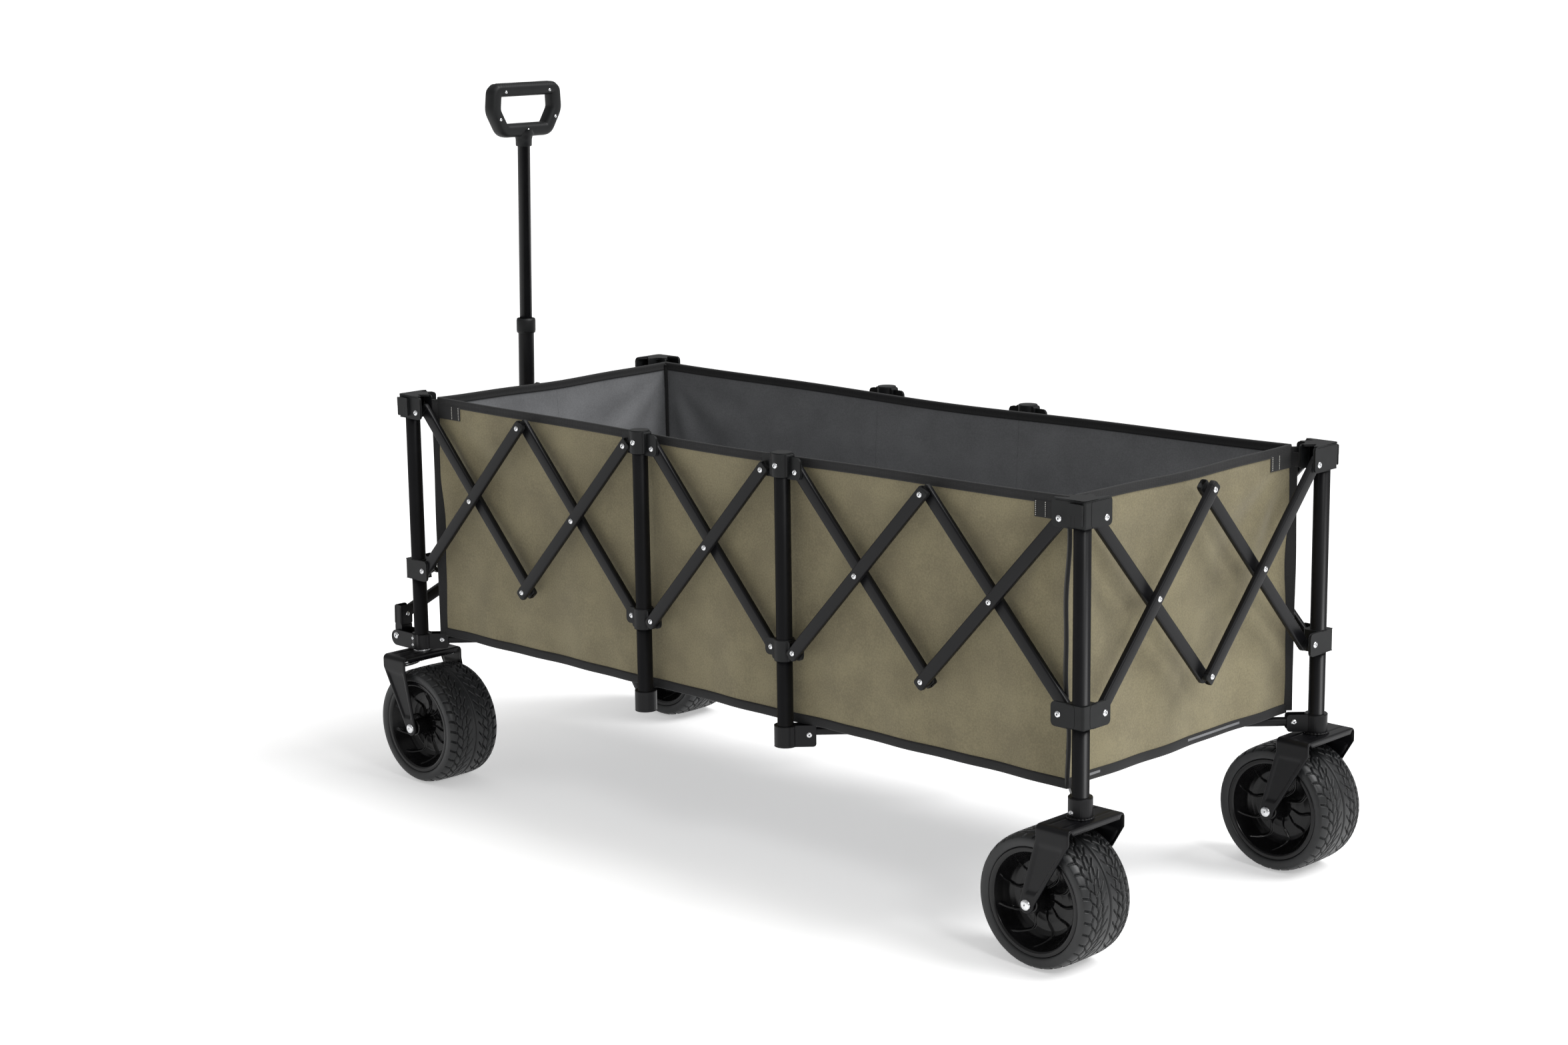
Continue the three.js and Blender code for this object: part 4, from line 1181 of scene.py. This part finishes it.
WALL_HIGH = BASKET[1][2]
WALL_LOW = BASKET[0][2]
HALF_LONG = (BASKET[1][0] - BASKET[0][0]) / 2
HALF_SHORT = (BASKET[1][1] - BASKET[0][1]) / 2


def wall_half(side):
    return HALF_LONG if side in ("near", "far") else HALF_SHORT


def wall_plane(side):
    """How far outwards of its posts a side's cloth hangs: a negative number."""
    gap = POST_Y - HALF_SHORT if side in ("near", "far") else (POST_REAR_X - CENTRE_X) - HALF_LONG
    return -gap


def rim_height(side, along):
    """The rim's height: level at the brackets, sagging a little between them."""
    half = wall_half(side)
    sag = 7 * MM if side in ("near", "far") else 4 * MM
    return WALL_HIGH + 8 * MM - sag * (1 - (along / half) ** 2) * (0.75 + 0.25 * np.cos(6 * along / half))


def slack(side, along, z):
    """How far the cloth stands outwards of its plane: slow waves, upright folds that fade
    upwards, pulls that fan from the top corners, and a belly near the floor. It goes to zero at the
    upright corners and at the rim."""
    half = wall_half(side)
    seed = {"near": 0.0, "rear": 1.7, "far": 3.1, "front": 4.6}[side]
    u = along / half
    height = (z - WALL_LOW) / (WALL_HIGH - WALL_LOW)
    edge = smooth_step(half - np.abs(along), 0, 60 * MM)
    rim = smooth_step(1 - height, 0.0, 0.25)
    waves = 2.4 * np.sin(2 * math.pi * along / 0.31 + seed + 1.4 * np.sin(3 * height + seed))
    folds = 1.3 * np.sin(2 * math.pi * along / 0.118 + 2.1 * seed + 2.2 * height) * (1 - height)
    fan = 0.0
    for end in (-1, 1):
        away = np.hypot(half - end * along, (WALL_HIGH - z)) + 1e-6
        turn = np.arctan2(WALL_HIGH - z, half - end * along)
        fan = fan + 4.2 * np.sin(11 * turn + seed + 2 * end) * np.exp(-((away - 0.13) / 0.11) ** 2)
    belly = -2.0 + 1.6 * np.cos(2 * math.pi * (height - 0.1)) + 0.9 * np.sin(9 * u + seed)
    return (waves + folds + fan + belly) * edge * rim * 0.75 * MM - 1.0 * MM * rim * edge


def wall_points(side, along, z, lift=0.0):
    """The wall's outer face moved outwards by lift, for arrays of places along and up."""
    (x, y), right, out = SIDES[side]
    depth = wall_plane(side) + slack(side, along, z) + lift
    return np.stack([x + right[0] * along + out[0] * depth, y + right[1] * along + out[1] * depth, z], -1)


def stretches(side):
    """A side's stretches between posts, each with the body that it folds with and the body's
    place along the side: (start, end, body, anchor, share kept when folded)."""
    half = wall_half(side)
    if side in ("near", "far"):
        mid = (MID_REAR_X - MID_FRONT_X) / 2
        sign = 1 if side == "near" else -1
        left, right = ("front", "rear") if sign > 0 else ("rear", "front")
        outer = 1 - (FOLD_X - FOLD_MID_X) / (POST_REAR_X - MID_REAR_X)
        inner = 1 - 2 * FOLD_MID_X / (2 * mid)
        return [
            (-half, -mid, f"post_mid_{left}_{side}", -mid, outer),
            (-mid, mid, f"post_mid_{left}_{side}", -mid, inner),
            (mid, half, f"post_mid_{right}_{side}", mid, outer),
        ]
    keep = 1 - FOLD_Y / POST_Y
    left, right = ("near", "far") if side == "rear" else ("far", "near")
    return [
        (-half, 0.0, f"post_{side}_{left}", -POST_Y, keep),
        (0.0, half, f"post_{side}_{right}", POST_Y, keep),
    ]


def fold_with(obj):
    """Gives the piece its own copy of its mesh."""
    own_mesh(obj)


def places_along(start, end, spacing, least):
    """Places along a wall, evenly spaced, with one more close to each end so that the cut
    ends stay crisp."""
    count = max(least, int((end - start) / spacing))
    inner = np.linspace(start + 0.4 * MM, end - 0.4 * MM, count - 2)
    return np.concatenate([[start], inner, [end]])


def closed_strip(side, along, outline):
    """A closed outline of (lift, height below the rim) carried along the rim."""
    a = along[:, None]
    top = rim_height(side, a)
    z = top - outline[None, :, 1]
    points = wall_points(side, np.broadcast_to(a, z.shape), z, outline[None, :, 0])
    count = outline.shape[0]
    faces = [
        grid_faces(len(along), count, False, True),
        np.arange(count)[None, ::-1],
        np.arange(count)[None] + (len(along) - 1) * count,
    ]
    smooth = (True, False, False)
    uv = np.stack([np.broadcast_to(a, z.shape), np.broadcast_to(-outline[None, :, 1], z.shape)], -1)
    return part(points, faces, smooth=smooth, uv=uv.reshape(-1, 2))


def panel(name, side, start, end, body):
    """A wall's cloth between two places: the outer cloth outside and the lining inside."""
    rows = 56
    along = places_along(start, end, 7 * MM, 24)
    columns = len(along)
    drop = np.linspace(0, 1, rows)
    a, t = np.meshgrid(along, drop, indexing="ij")
    z = WALL_LOW + (rim_height(side, a) - 2 * MM - WALL_LOW) * t
    outer = wall_points(side, a, z)
    inner = wall_points(side, a, z, -sizes().cloth_thickness)
    uv = np.stack([a, z], -1).reshape(-1, 2)
    count = columns * rows
    points = np.concatenate([outer.reshape(-1, 3), inner.reshape(-1, 3)])
    quads = grid_faces(columns, rows)
    border = np.concatenate([
        np.arange(columns) * rows,
        (columns - 1) * rows + np.arange(1, rows),
        np.arange(columns - 2, -1, -1) * rows + rows - 1,
        np.arange(rows - 2, 0, -1),
    ])
    after = np.roll(border, -1)
    hem = np.stack([border, after, after + count, border + count], 1)
    whole = part(points, [quads[:, ::-1], quads + count, hem], material=(0, 1, 0),
                 smooth=(True, True, False), uv=np.concatenate([uv, uv]))
    return make(name, [whole], [outer_cloth(), lining_cloth()], body)


def rim_tape(name, side, start, end, body):
    """Binding folded over the rim: a thin closed band that goes down both faces of the wall,
    with a raised edge where its sewn hem is doubled."""
    width = sizes().tape_width
    wall = sizes().cloth_thickness
    outside = [(0.9, width), (1.7, width - 0.6 * MM), (1.9, width - 2.5 * MM), (1.3, width - 4 * MM),
               (1.3, 4 * MM), (1.5, 1 * MM), (1.1, -1.2 * MM)]
    over = [(0.2, -2.2 * MM), (-1.2, -2.3 * MM)]
    lifts = np.array([p[0] for p in outside]) * MM
    downs = np.array([p[1] for p in outside])
    outline = np.concatenate([
        np.stack([lifts, downs], 1),
        np.array([[p[0] * MM, p[1]] for p in over]),
        np.stack([-lifts[::-1] - wall, downs[::-1]], 1),
    ])
    strip = closed_strip(side, places_along(start, end, 8 * MM, 20), outline)
    return make(name, [strip], [binding_tape()], body)


def edge_cord(name, side, start, end, body):
    """Binding on the bottom edge: a flat rounded band that follows the wall's foot."""
    along = places_along(start, end, 8 * MM, 20)
    path = wall_points(side, along, np.full(len(along), WALL_LOW + 1 * MM), -0.5 * MM)
    out = side_axes(side)[1]
    section = rounded_outline(6 * MM, 15 * MM, 2.6 * MM, 3)
    return make(name, [sweep(path, out, UP, section)], [binding_tape()], body)


def stitch_row(origin, along, height, count=8):
    """Upright row of pale stitches: short rounded dashes."""
    dash = rounded_outline(1.0 * MM, height / count * 0.62, 0.45 * MM, 2)
    rows = (np.arange(count) + 0.5) / count * height - height / 2
    return [slab(dash, 0.9 * MM, origin + UP * step, along, UP) for step in rows]


def corner_tab(side, end_sign):
    """A webbing tab at a wall's top corner, in its own parts, with its rows of stitches."""
    right, out = side_axes(side)
    half = wall_half(side)
    wide = (58 if side in ("near", "far") else 52) * MM
    tall = 25 * MM
    centre = end_sign * (half - wide / 2 - 1 * MM)
    z = WALL_HIGH + 7 * MM - sizes().tape_width - tall / 2 + 4 * MM
    along = np.linspace(centre - wide / 2, centre + wide / 2, 24)
    path = wall_points(side, along, np.full(24, z), 1.1 * MM)
    strap = sweep(path, out, UP, rounded_outline(1.8 * MM, tall, 0.8 * MM, 2))
    spots = [centre - end_sign * (wide / 2 - 2.5 * MM), centre - end_sign * (wide / 2 - 20 * MM)]
    rows = []
    for spot in spots:
        face = wall_points(side, np.array([spot]), np.array([z]), 2.3 * MM)[0]
        rows += stitch_row(face, right, tall - 3 * MM)
    return strap, rows


def corner_fin(x_sign, y_sign):
    """The bound seam up a corner of the basket: a thin fin that stands out diagonally and
    waves a little as it goes up."""
    z = np.linspace(WALL_LOW - 2 * MM, WALL_HIGH + 6 * MM, 60)
    height = (z - z[0]) / (z[-1] - z[0])
    out = unit([x_sign, y_sign, 0])
    across = np.cross(UP, out)
    wave = (3.6 * np.sin(7 * height + x_sign) + 1.4 * np.sin(17 * height + y_sign)) * MM
    root = np.array([CENTRE_X + x_sign * (HALF_LONG - 3 * MM), y_sign * (HALF_SHORT - 3 * MM), 0])
    path = root + out * 5 * MM + wave[:, None] * across * np.sin(math.pi * height)[:, None]
    path = path + z[:, None] * UP
    return sweep(path, out, across, rounded_outline(20 * MM, 5.4 * MM, 2.2 * MM, 3))


def floor_wedges(half_x, half_y, count_x, count_y):
    """The floor round one point, cut like a pie to equal steps along its border: each wedge
    as its two border points, from the point given."""
    xs = np.linspace(-half_x, half_x, count_x + 1)
    ys = np.linspace(-half_y, half_y, count_y + 1)
    border = np.concatenate([
        np.stack([xs[:-1], np.full(count_x, -half_y)], 1),
        np.stack([np.full(count_y, half_x), ys[:-1]], 1),
        np.stack([xs[:0:-1], np.full(count_x, half_y)], 1),
        np.stack([np.full(count_y, -half_x), ys[:0:-1]], 1),
    ])
    ends = np.roll(border, -1, axis=0)
    return [(border[k], ends[k]) for k in range(len(border))]


def floor_piece(name, centre_x, first, second, body):
    """A wedge of the basket's floor: a thin pad of two faces."""
    steps = np.linspace(0.0, 1.0, 9)
    sweep_share = np.linspace(0, 1, 5)
    t, s = np.meshgrid(steps, sweep_share, indexing="ij")
    edge = first[None, None] * (1 - s[..., None]) + second[None, None] * s[..., None]
    flat = edge * t[..., None]
    top = np.stack([centre_x + flat[..., 0], flat[..., 1], np.full(t.shape, WALL_LOW + 5 * MM)], -1)
    under = top - [0, 0, 3.6 * MM]
    count = t.size
    quads = grid_faces(len(steps), len(sweep_share))
    rows = len(sweep_share)
    quads_top = quads[quads[:, 0] >= rows]
    tips = np.stack([np.zeros(rows - 1, int), rows + np.arange(rows - 1), rows + 1 + np.arange(rows - 1)], 1)
    border = np.concatenate([
        [0],
        np.arange(1, len(steps)) * rows,
        (len(steps) - 1) * rows + np.arange(1, rows),
        np.arange(len(steps) - 2, 0, -1) * rows + rows - 1,
    ])
    after = np.roll(border, -1)
    rim = np.stack([border, after, after + count, border + count], 1)
    points = np.concatenate([top.reshape(-1, 3), under.reshape(-1, 3)])
    uv = points[:, :2]
    faces = [quads_top, tips, quads_top[:, ::-1] + count, tips[:, ::-1] + count, rim[:, ::-1]]
    used = np.unique(np.concatenate([f.ravel() for f in faces]))
    lookup = np.full(len(points), -1)
    lookup[used] = np.arange(len(used))
    whole = part(points[used], [lookup[f] for f in faces], uv=uv[used], smooth=False)
    obj = make(name, [whole], [lining_cloth()], body)
    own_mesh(obj)
    return obj


class WAGON_OT_basket(bpy.types.Operator):
    """Make the cloth basket: walls with lining, bound edges, corner tabs and floor"""

    bl_idname = "wagon.basket"
    bl_label = "Basket"

    def execute(self, context):
        lap = 0.3 * MM
        for side in SIDES:
            half = wall_half(side)
            for index, (start, end, body, anchor, keep) in enumerate(stretches(side)):
                start, end = max(start - lap, -half), min(end + lap, half)
                self.stretch(side, index, start, end, body, anchor, keep)
        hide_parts("basket")
        self.corners()
        self.floor()
        return {"FINISHED"}

    def stretch(self, side, index, start, end, body, anchor, keep):
        stem = f"basket_{side}_{index + 1}"
        wall = panel(f"{stem}_wall", side, start, end, body)
        rim = rim_tape(f"{stem}_rim_tape", side, start, end, body)
        foot = edge_cord(f"{stem}_foot_tape", side, start, end, body)
        for piece in (wall, rim, foot):
            fold_with(piece)
        return wall

    def corners(self):
        for end, x_sign in (("front", -1), ("rear", 1)):
            for side, y_sign in (("near", -1), ("far", 1)):
                post = f"post_{end}_{side}"
                make(f"basket_{end}_{side}_seam", [corner_fin(x_sign, y_sign)], [binding_tape()],
                     post)
                long_end = x_sign * SIDES[side][1][0]
                short_end = y_sign * SIDES[end][1][1]
                straps, rows = [], []
                for name, sign in ((side, long_end), (end, short_end)):
                    strap, dashes = corner_tab(name, sign)
                    straps.append(strap)
                    rows += dashes
                straps.append(corner_strap(post, x_sign, y_sign))
                make(f"basket_{end}_{side}_tabs", straps, [binding_tape()], post)
                make(f"basket_{end}_{side}_stitches", rows, [sewing_thread()], post)

    def floor(self):
        end_half = (HALF_LONG * 2 - (MID_REAR_X - MID_FRONT_X)) / 4
        half_y = HALF_SHORT - 3 * MM
        mid_half = (MID_REAR_X - MID_FRONT_X) / 2
        for label, centre, half, body, steps in (
            ("front", CENTRE_X - mid_half - end_half, end_half, "base_front", 6),
            ("middle", CENTRE_X, mid_half, "basket", 4),
            ("rear", CENTRE_X + mid_half + end_half, end_half, "base_rear", 6),
        ):
            wedges = floor_wedges(half, half_y, steps, 6)
            for index, (first, second) in enumerate(wedges):
                name = f"basket_floor_{label}_{index + 1}"
                piece = floor_piece(name, centre, first, second, body)


def corner_strap(post, x_sign, y_sign):
    """The webbing that ties a basket's corner to its bracket: a flat band on a short arc."""
    x, y = POSTS[post]
    start = np.array([
        CENTRE_X + x_sign * (HALF_LONG - 2 * MM), y_sign * (HALF_SHORT - 2 * MM), STRAP_INNER_Z,
    ])
    end = np.array([x - x_sign * 10 * MM, y - y_sign * 10 * MM, STRAP_OUTER_Z])
    t = np.linspace(0, 1, 16)[:, None]
    path = start * (1 - t) + end * t - UP * 3 * MM * np.sin(math.pi * t)
    across = unit(np.cross(UP, end - start))
    return sweep(path, across, UP, rounded_outline(2.6 * MM, 22 * MM, 1.1 * MM, 2))


# ------------------------------------------------------------------ base

def base_link(start, end):
    """A flat link from a post's foot to a hub, narrowed and rounded at both ends."""
    along = unit(end - start)
    across = np.cross(UP, along)
    span = np.linalg.norm(end - start)
    stations = np.array([0, 1.2, 3.5, 7]) * MM
    stations = np.concatenate([stations, (span - stations)[::-1]])
    shrink = np.array([0.55, 0.8, 0.95, 1, 1, 0.95, 0.8, 0.55])
    section = rounded_outline(15 * MM, 12 * MM, 3 * MM)
    rings = section[None] * np.stack([shrink, np.ones(8)], 1)[:, None]
    return sweep(start + stations[:, None] * along, across, UP, rings)


class WAGON_OT_base(bpy.types.Operator):
    """Make the two base units: a ribbed hub and four links each"""

    bl_idname = "wagon.base"
    bl_label = "Base units"

    def execute(self, context):
        for end in ("front", "rear"):
            node = f"base_{end}"
            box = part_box(node)
            hub = np.array([(box[0][0] + box[1][0]) / 2, 0, HUB_Z])
            profile = [
                [6, -8], [30, -8], [33.5, -6.5], [34, -4], [34, 4],
                [32.5, 6.4], [24, 7], [22, 5], [8, 5],
            ]
            parts = [lathe(np.array(profile) * MM, hub, UP, 48)]
            outline = rounded_outline(46 * MM, 26 * MM, 5 * MM)
            for k in range(4):
                direction = self.link_from_hub(end, k)
                side = np.cross(UP, direction)
                for shift in (-10.5, 10.5):
                    origin = hub + direction * 38 * MM + side * shift * MM
                    parts.append(slab(outline * [1, 0.5], 2.6 * MM, origin, direction, UP))
            shell = make(f"{node}_hub", parts, [moulded_plastic()], node, 0.6 * MM)
            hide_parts(node)
            for k in range(4):
                self.link(node, end, hub, k)
        return {"FINISHED"}

    def posts(self, end):
        return [f"post_{end}_near", f"post_{end}_far", f"post_mid_{end}_near", f"post_mid_{end}_far"]

    def link_from_hub(self, end, k):
        return -link_direction(self.posts(end)[k])

    def link(self, node, end, hub, k):
        post = self.posts(end)[k]
        x, y = POSTS[post]
        direction = link_direction(post)
        foot = np.array([x, y, hub[2]]) + direction * 30 * MM
        inner = hub - direction * 36 * MM
        rod = make(f"{node}_link_{k + 1}", [base_link(foot, inner)], [powder_coat()], node)
        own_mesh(rod)


# ------------------------------------------------------------------ pull handle

TILT = np.array(JOINTS["handle_tilt"]["pos_m"])
HANDLE_UP = unit(JOINTS["handle_slide"]["axis"])
HANDLE_X = np.cross((0, 1, 0), HANDLE_UP)
HANDLE_BASE = np.array([TILT[0], 0.0, TILT[2]])


def at_handle(x, y, height):
    """A point by its place in the handle's own frame, in metres."""
    return HANDLE_BASE + HANDLE_X * x + np.array([0, y, 0]) + HANDLE_UP * height


def grip_loop():
    """The grip's middle line: a six-cornered loop, wider above, whose corners are rounded by
    averaging it with its neighbours over 12 mm."""
    corners = np.array([[-67, 936], [67, 936], [70, 900], [50, 865], [-50, 865], [-70, 900], [-67, 936]])
    gaps = np.linalg.norm(np.diff(corners, axis=0), axis=1)
    run = np.concatenate([[0], np.cumsum(gaps)])
    count = 240
    even = np.linspace(0, run[-1], count, endpoint=False)
    loop = np.stack([np.interp(even, run, corners[:, k]) for k in (0, 1)], 1)
    reach = int(12 / run[-1] * count)
    weights = np.hanning(2 * reach + 3)[1:-1]
    rolled = [np.roll(loop, shift, 0) for shift in range(-reach, reach + 1)]
    return np.tensordot(weights / weights.sum(), np.array(rolled), 1) * MM


def grip_parts():
    """The closed grip: an oval section carried round the loop, with fine finger ribs along the
    top bar, and a socket that flares into the lower bar."""
    loop = grip_loop()
    ahead = np.roll(loop, -1, 0) - np.roll(loop, 1, 0)
    ahead /= np.linalg.norm(ahead, axis=1)[:, None]
    outward = np.stack([-ahead[:, 1], ahead[:, 0]], 1)
    path = np.array([at_handle(0, y, z) for y, z in loop])
    rise = outward[:, :1] * np.array([[0, 1.0, 0]]) + outward[:, 1:] * HANDLE_UP[None]
    angle = np.linspace(0, 2 * math.pi, 28, endpoint=False)
    curve = np.stack([np.sign(np.cos(angle)) * np.abs(np.cos(angle)) ** 0.75 * 14,
                      np.sign(np.sin(angle)) * np.abs(np.sin(angle)) ** 0.75 * 12], 1) * MM
    on_top = smooth_step(loop[:, 1], 931 * MM, 934 * MM)[:, None] * (np.sin(angle) > 0.5)
    ribs = 1 - 0.06 * on_top * (0.5 + 0.5 * np.cos(2 * math.pi * loop[:, :1] / (5.0 * MM)))
    rings = curve[None] * ribs[..., None]
    ring = sweep(path, HANDLE_X, rise, rings, closed_path=True)
    socket = [[12.4, 836], [14.2, 837], [14.4, 848], [15.6, 853], [19, 858], [16, 866]]
    return [ring, lathe(np.array(socket) * MM, HANDLE_BASE, HANDLE_UP, 36)]


class WAGON_OT_handle(bpy.types.Operator):
    """Make the pull handle: brackets, arms, two poles, collar, button and grip"""

    bl_idname = "wagon.handle"
    bl_label = "Pull handle"

    def execute(self, context):
        self.poles()
        self.grip()
        self.arms()
        return {"FINISHED"}

    def poles(self):
        lower = [[13, 105], [14, 106], [14, 505]]
        parts = [lathe(np.array(lower) * MM, HANDLE_BASE, HANDLE_UP, 40)]
        plate = rounded_outline(70 * MM, 31 * MM, 6 * MM)
        height = JOINTS["fold_handle_pole"]["pos_m"]
        rise = float((np.array(height) - HANDLE_BASE) @ HANDLE_UP)
        parts.append(slab(plate, 3.6 * MM, at_handle(7.3 * MM, 0, rise), (0, 1, 0), HANDLE_UP))
        pole = make("handle_lower_pole_tube", parts, [powder_coat()],
                    "handle_lower_pole", 0.6 * MM)
        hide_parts("handle_lower_pole")
        collar = [[14.1, 503], [16.4, 504.5], [17, 508], [17, 526], [16, 529.5], [12.2, 530]]
        make("handle_collar", [lathe(np.array(collar) * MM, HANDLE_BASE, HANDLE_UP, 40)],
             [moulded_plastic()], "handle_lower_pole")
        out = -HANDLE_X
        button = np.array([[3.6, -1], [3.6, 1.8], [3.1, 2.9], [1.6, 3.4]]) * MM
        heads = [lathe(button, at_handle(-13.6 * MM, 0, 0.488), out, 20)]
        heads += [rivet(at_handle(-5.4 * MM, y * 26 * MM, rise), out) for y in (-1, 1)]
        make("handle_button", heads, [zinc_plate()], "handle_lower_pole")

    def grip(self):
        upper = [[10.4, 470], [11, 471], [11, 846]]
        tube = make("handle_upper_pole_tube", [lathe(np.array(upper) * MM, HANDLE_BASE, HANDLE_UP, 36)],
                    [powder_coat()], "handle_upper_pole")
        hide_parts("handle_upper_pole")
        make("handle_grip", grip_parts(), [moulded_plastic()], "handle_upper_pole")
        heads = []
        for sign in (-1, 1):
            for y, z in ((-50, 933), (50, 933), (-63, 886), (63, 886), (10, 865), (10, 846)):
                spot = at_handle(sign * (13.6 if z > 850 else 13.0) * MM, (y if z > 866 else 0) * MM, z * MM)
                heads.append(rivet(spot, sign * HANDLE_X, 0.62))
        make("handle_grip_screws", heads, [zinc_plate()], "handle_upper_pole")

    def arms(self):
        inner_z = float((np.array(JOINTS["fold_handle_pole"]["pos_m"]) - HANDLE_BASE) @ HANDLE_UP)
        outer = np.array(JOINTS["fold_handle_arm_near"]["pos_m"])
        for side, sign in (("near", -1), ("far", 1)):
            start = at_handle(0, sign * abs(outer[1]), float((outer - HANDLE_BASE) @ HANDLE_UP))
            end = at_handle(0, sign * 26 * MM, inner_z)
            node = f"handle_arm_{side}"
            arm = make(f"{node}_tube", bar_part(start, end, -HANDLE_X),
                       [powder_coat(), moulded_plastic()], node)
            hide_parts(node)
            body = "handle_bracket_near" if side == "near" else "post_front_far"
            bracket = make(f"handle_bracket_{side}_channel", self.channel(sign),
                           [powder_coat()], body, 0.6 * MM)
            if side == "near":
                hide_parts(body)
            heads = [rivet(start + s * HANDLE_X * 8.8 * MM, s * HANDLE_X, 0.9) for s in (-1, 1)]
            make(f"handle_bracket_{side}_rivets", heads, [zinc_plate()], body)

    def channel(self, sign):
        """An open channel that holds an arm, above a foot between the post's plates."""
        y = sign * POST_Y
        parts = [
            slab(rounded_outline(24 * MM, 33 * MM, 3 * MM), 3 * MM,
                 at_handle(s * 7.3 * MM, y, 36 * MM), (0, 1, 0), HANDLE_UP)
            for s in (-1, 1)
        ]
        parts.append(slab(rounded_outline(17 * MM, 33 * MM, 2 * MM), 3 * MM,
                          at_handle(0, y + sign * 10.6 * MM, 36 * MM), HANDLE_X, HANDLE_UP))
        parts.append(slab(rounded_outline(17 * MM, 29 * MM, 4 * MM), 23 * MM,
                          at_handle(0, y, 6 * MM), HANDLE_X, HANDLE_UP))
        return parts


# ------------------------------------------------------------------ stage

CAMERA_PLACE = (3.07373, -3.26974, 1.41512)
CAMERA_HEADING = 2.34169
CAMERA_PITCH = -0.20111
CAMERA_ROLL = -0.01353
CAMERA_LENS = 64.73


class WAGON_OT_stage(bpy.types.Operator):
    """Make the pale floor, the soft lights and the camera"""

    bl_idname = "wagon.stage"
    bl_label = "Studio"

    def execute(self, context):
        self.camera()
        self.floor()
        self.lights()
        return {"FINISHED"}

    def camera(self):
        data = bpy.data.cameras.new("Camera")
        data.lens = CAMERA_LENS
        data.sensor_width = 36.0
        data.clip_start, data.clip_end = 0.1, 100.0
        camera = bpy.data.objects.new("Camera", data)
        camera.location = CAMERA_PLACE
        camera.rotation_mode = "XYZ"
        camera.rotation_euler = (
            math.pi / 2 + CAMERA_PITCH, -CAMERA_ROLL, CAMERA_HEADING - math.pi / 2)
        bpy.context.scene.collection.objects.link(camera)
        bpy.context.scene.camera = camera

    def floor(self):
        reach = 160.0
        grid = np.array([[-reach, -reach, 0], [reach, -reach, 0], [reach, reach, 0], [-reach, reach, 0]])
        mesh = bpy.data.meshes.new("studio_floor")
        mesh.from_pydata(grid.tolist(), [], [(0, 1, 2, 3)])
        material = finish_named("studio_paper", studio_paper)
        mesh.materials.append(material)
        floor = bpy.data.objects.new("studio_floor", mesh)
        bpy.context.scene.collection.objects.link(floor)

    def lights(self):
        world = bpy.data.worlds.new("studio")
        world.use_nodes = True
        backdrop = world.node_tree.nodes["Background"]
        backdrop.inputs["Color"].default_value = (1, 1, 1, 1)
        backdrop.inputs["Strength"].default_value = 0.4
        bpy.context.scene.world = world
        bpy.context.scene.view_settings.view_transform = "Standard"
        sun = bpy.data.lights.new("key", "SUN")
        sun.energy = 2.0
        sun.angle = math.radians(28)
        self.place(sun, (3.0, 1.6, 4.2))
        for name, place, size, power in (
            ("strip", (3.4, -1.2, 2.2), 0.7, 26.0),
            ("top", (0.2, 0.4, 3.2), 1.2, 26.0),
        ):
            data = bpy.data.lights.new(name, "AREA")
            data.size = size
            data.energy = power
            self.place(data, place)

    def place(self, data, spot):
        """Puts a light at a spot, aimed at the middle of the basket."""
        light = bpy.data.objects.new(data.name, data)
        light.location = spot
        aim = unit(np.array([CENTRE_X, 0, 0.4]) - spot)
        light.rotation_mode = "XYZ"
        light.rotation_euler = (math.acos(-aim[2]), 0, math.atan2(aim[1], aim[0]) - math.pi / 2)
        bpy.context.scene.collection.objects.link(light)


def studio_paper(tree):
    """Seamless paper, lit from below as well as above, so that its shadows stay pale: matte,
    with a faint unevenness."""
    place = add(tree, "ShaderNodeTexCoord").outputs["Object"]
    soft = grain(tree, place, 0.8, 2.0)
    base = tuple(colours().floor)
    return add(tree, "ShaderNodeBsdfPrincipled", {
        "Base Color": shade(tree, soft.outputs["Fac"], scaled(base, 0.985), base),
        "Emission Color": base,
        "Emission Strength": 0.45,
        "Roughness": 0.75})


# ------------------------------------------------------------------ add-on

class WAGON_PT_panel(bpy.types.Panel):
    """Buttons that build the wagon piece by piece, and its colours and sizes"""

    bl_idname = "WAGON_PT_panel"
    bl_label = "Folding camp wagon"
    bl_space_type = "VIEW_3D"
    bl_region_type = "UI"
    bl_category = "Wagon"

    def draw(self, context):
        for operator in OPERATORS:
            self.layout.operator(operator.bl_idname)
        for group in (context.scene.wagon_colours, context.scene.wagon_sizes):
            box = self.layout.box()
            for key in group.__annotations__:
                box.prop(group, key)


OPERATORS = (
    WAGON_OT_stage,
    WAGON_OT_posts,
    WAGON_OT_sliders,
    WAGON_OT_bars,
    WAGON_OT_base,
    WAGON_OT_wheels,
    WAGON_OT_forks,
    WAGON_OT_brakes,
    WAGON_OT_basket,
    WAGON_OT_handle,
)
CLASSES = (WagonColours, WagonSizes) + OPERATORS + (WAGON_PT_panel,)


def register():
    for cls in CLASSES:
        bpy.utils.register_class(cls)
    bpy.types.Scene.wagon_colours = bpy.props.PointerProperty(type=WagonColours)
    bpy.types.Scene.wagon_sizes = bpy.props.PointerProperty(type=WagonSizes)


def unregister():
    del bpy.types.Scene.wagon_sizes
    del bpy.types.Scene.wagon_colours
    for cls in reversed(CLASSES):
        bpy.utils.unregister_class(cls)


def main():
    register()
    for operator in OPERATORS:
        family, name = operator.bl_idname.split(".")
        getattr(getattr(bpy.ops, family), name)()


if __name__ == "__main__":
    main()
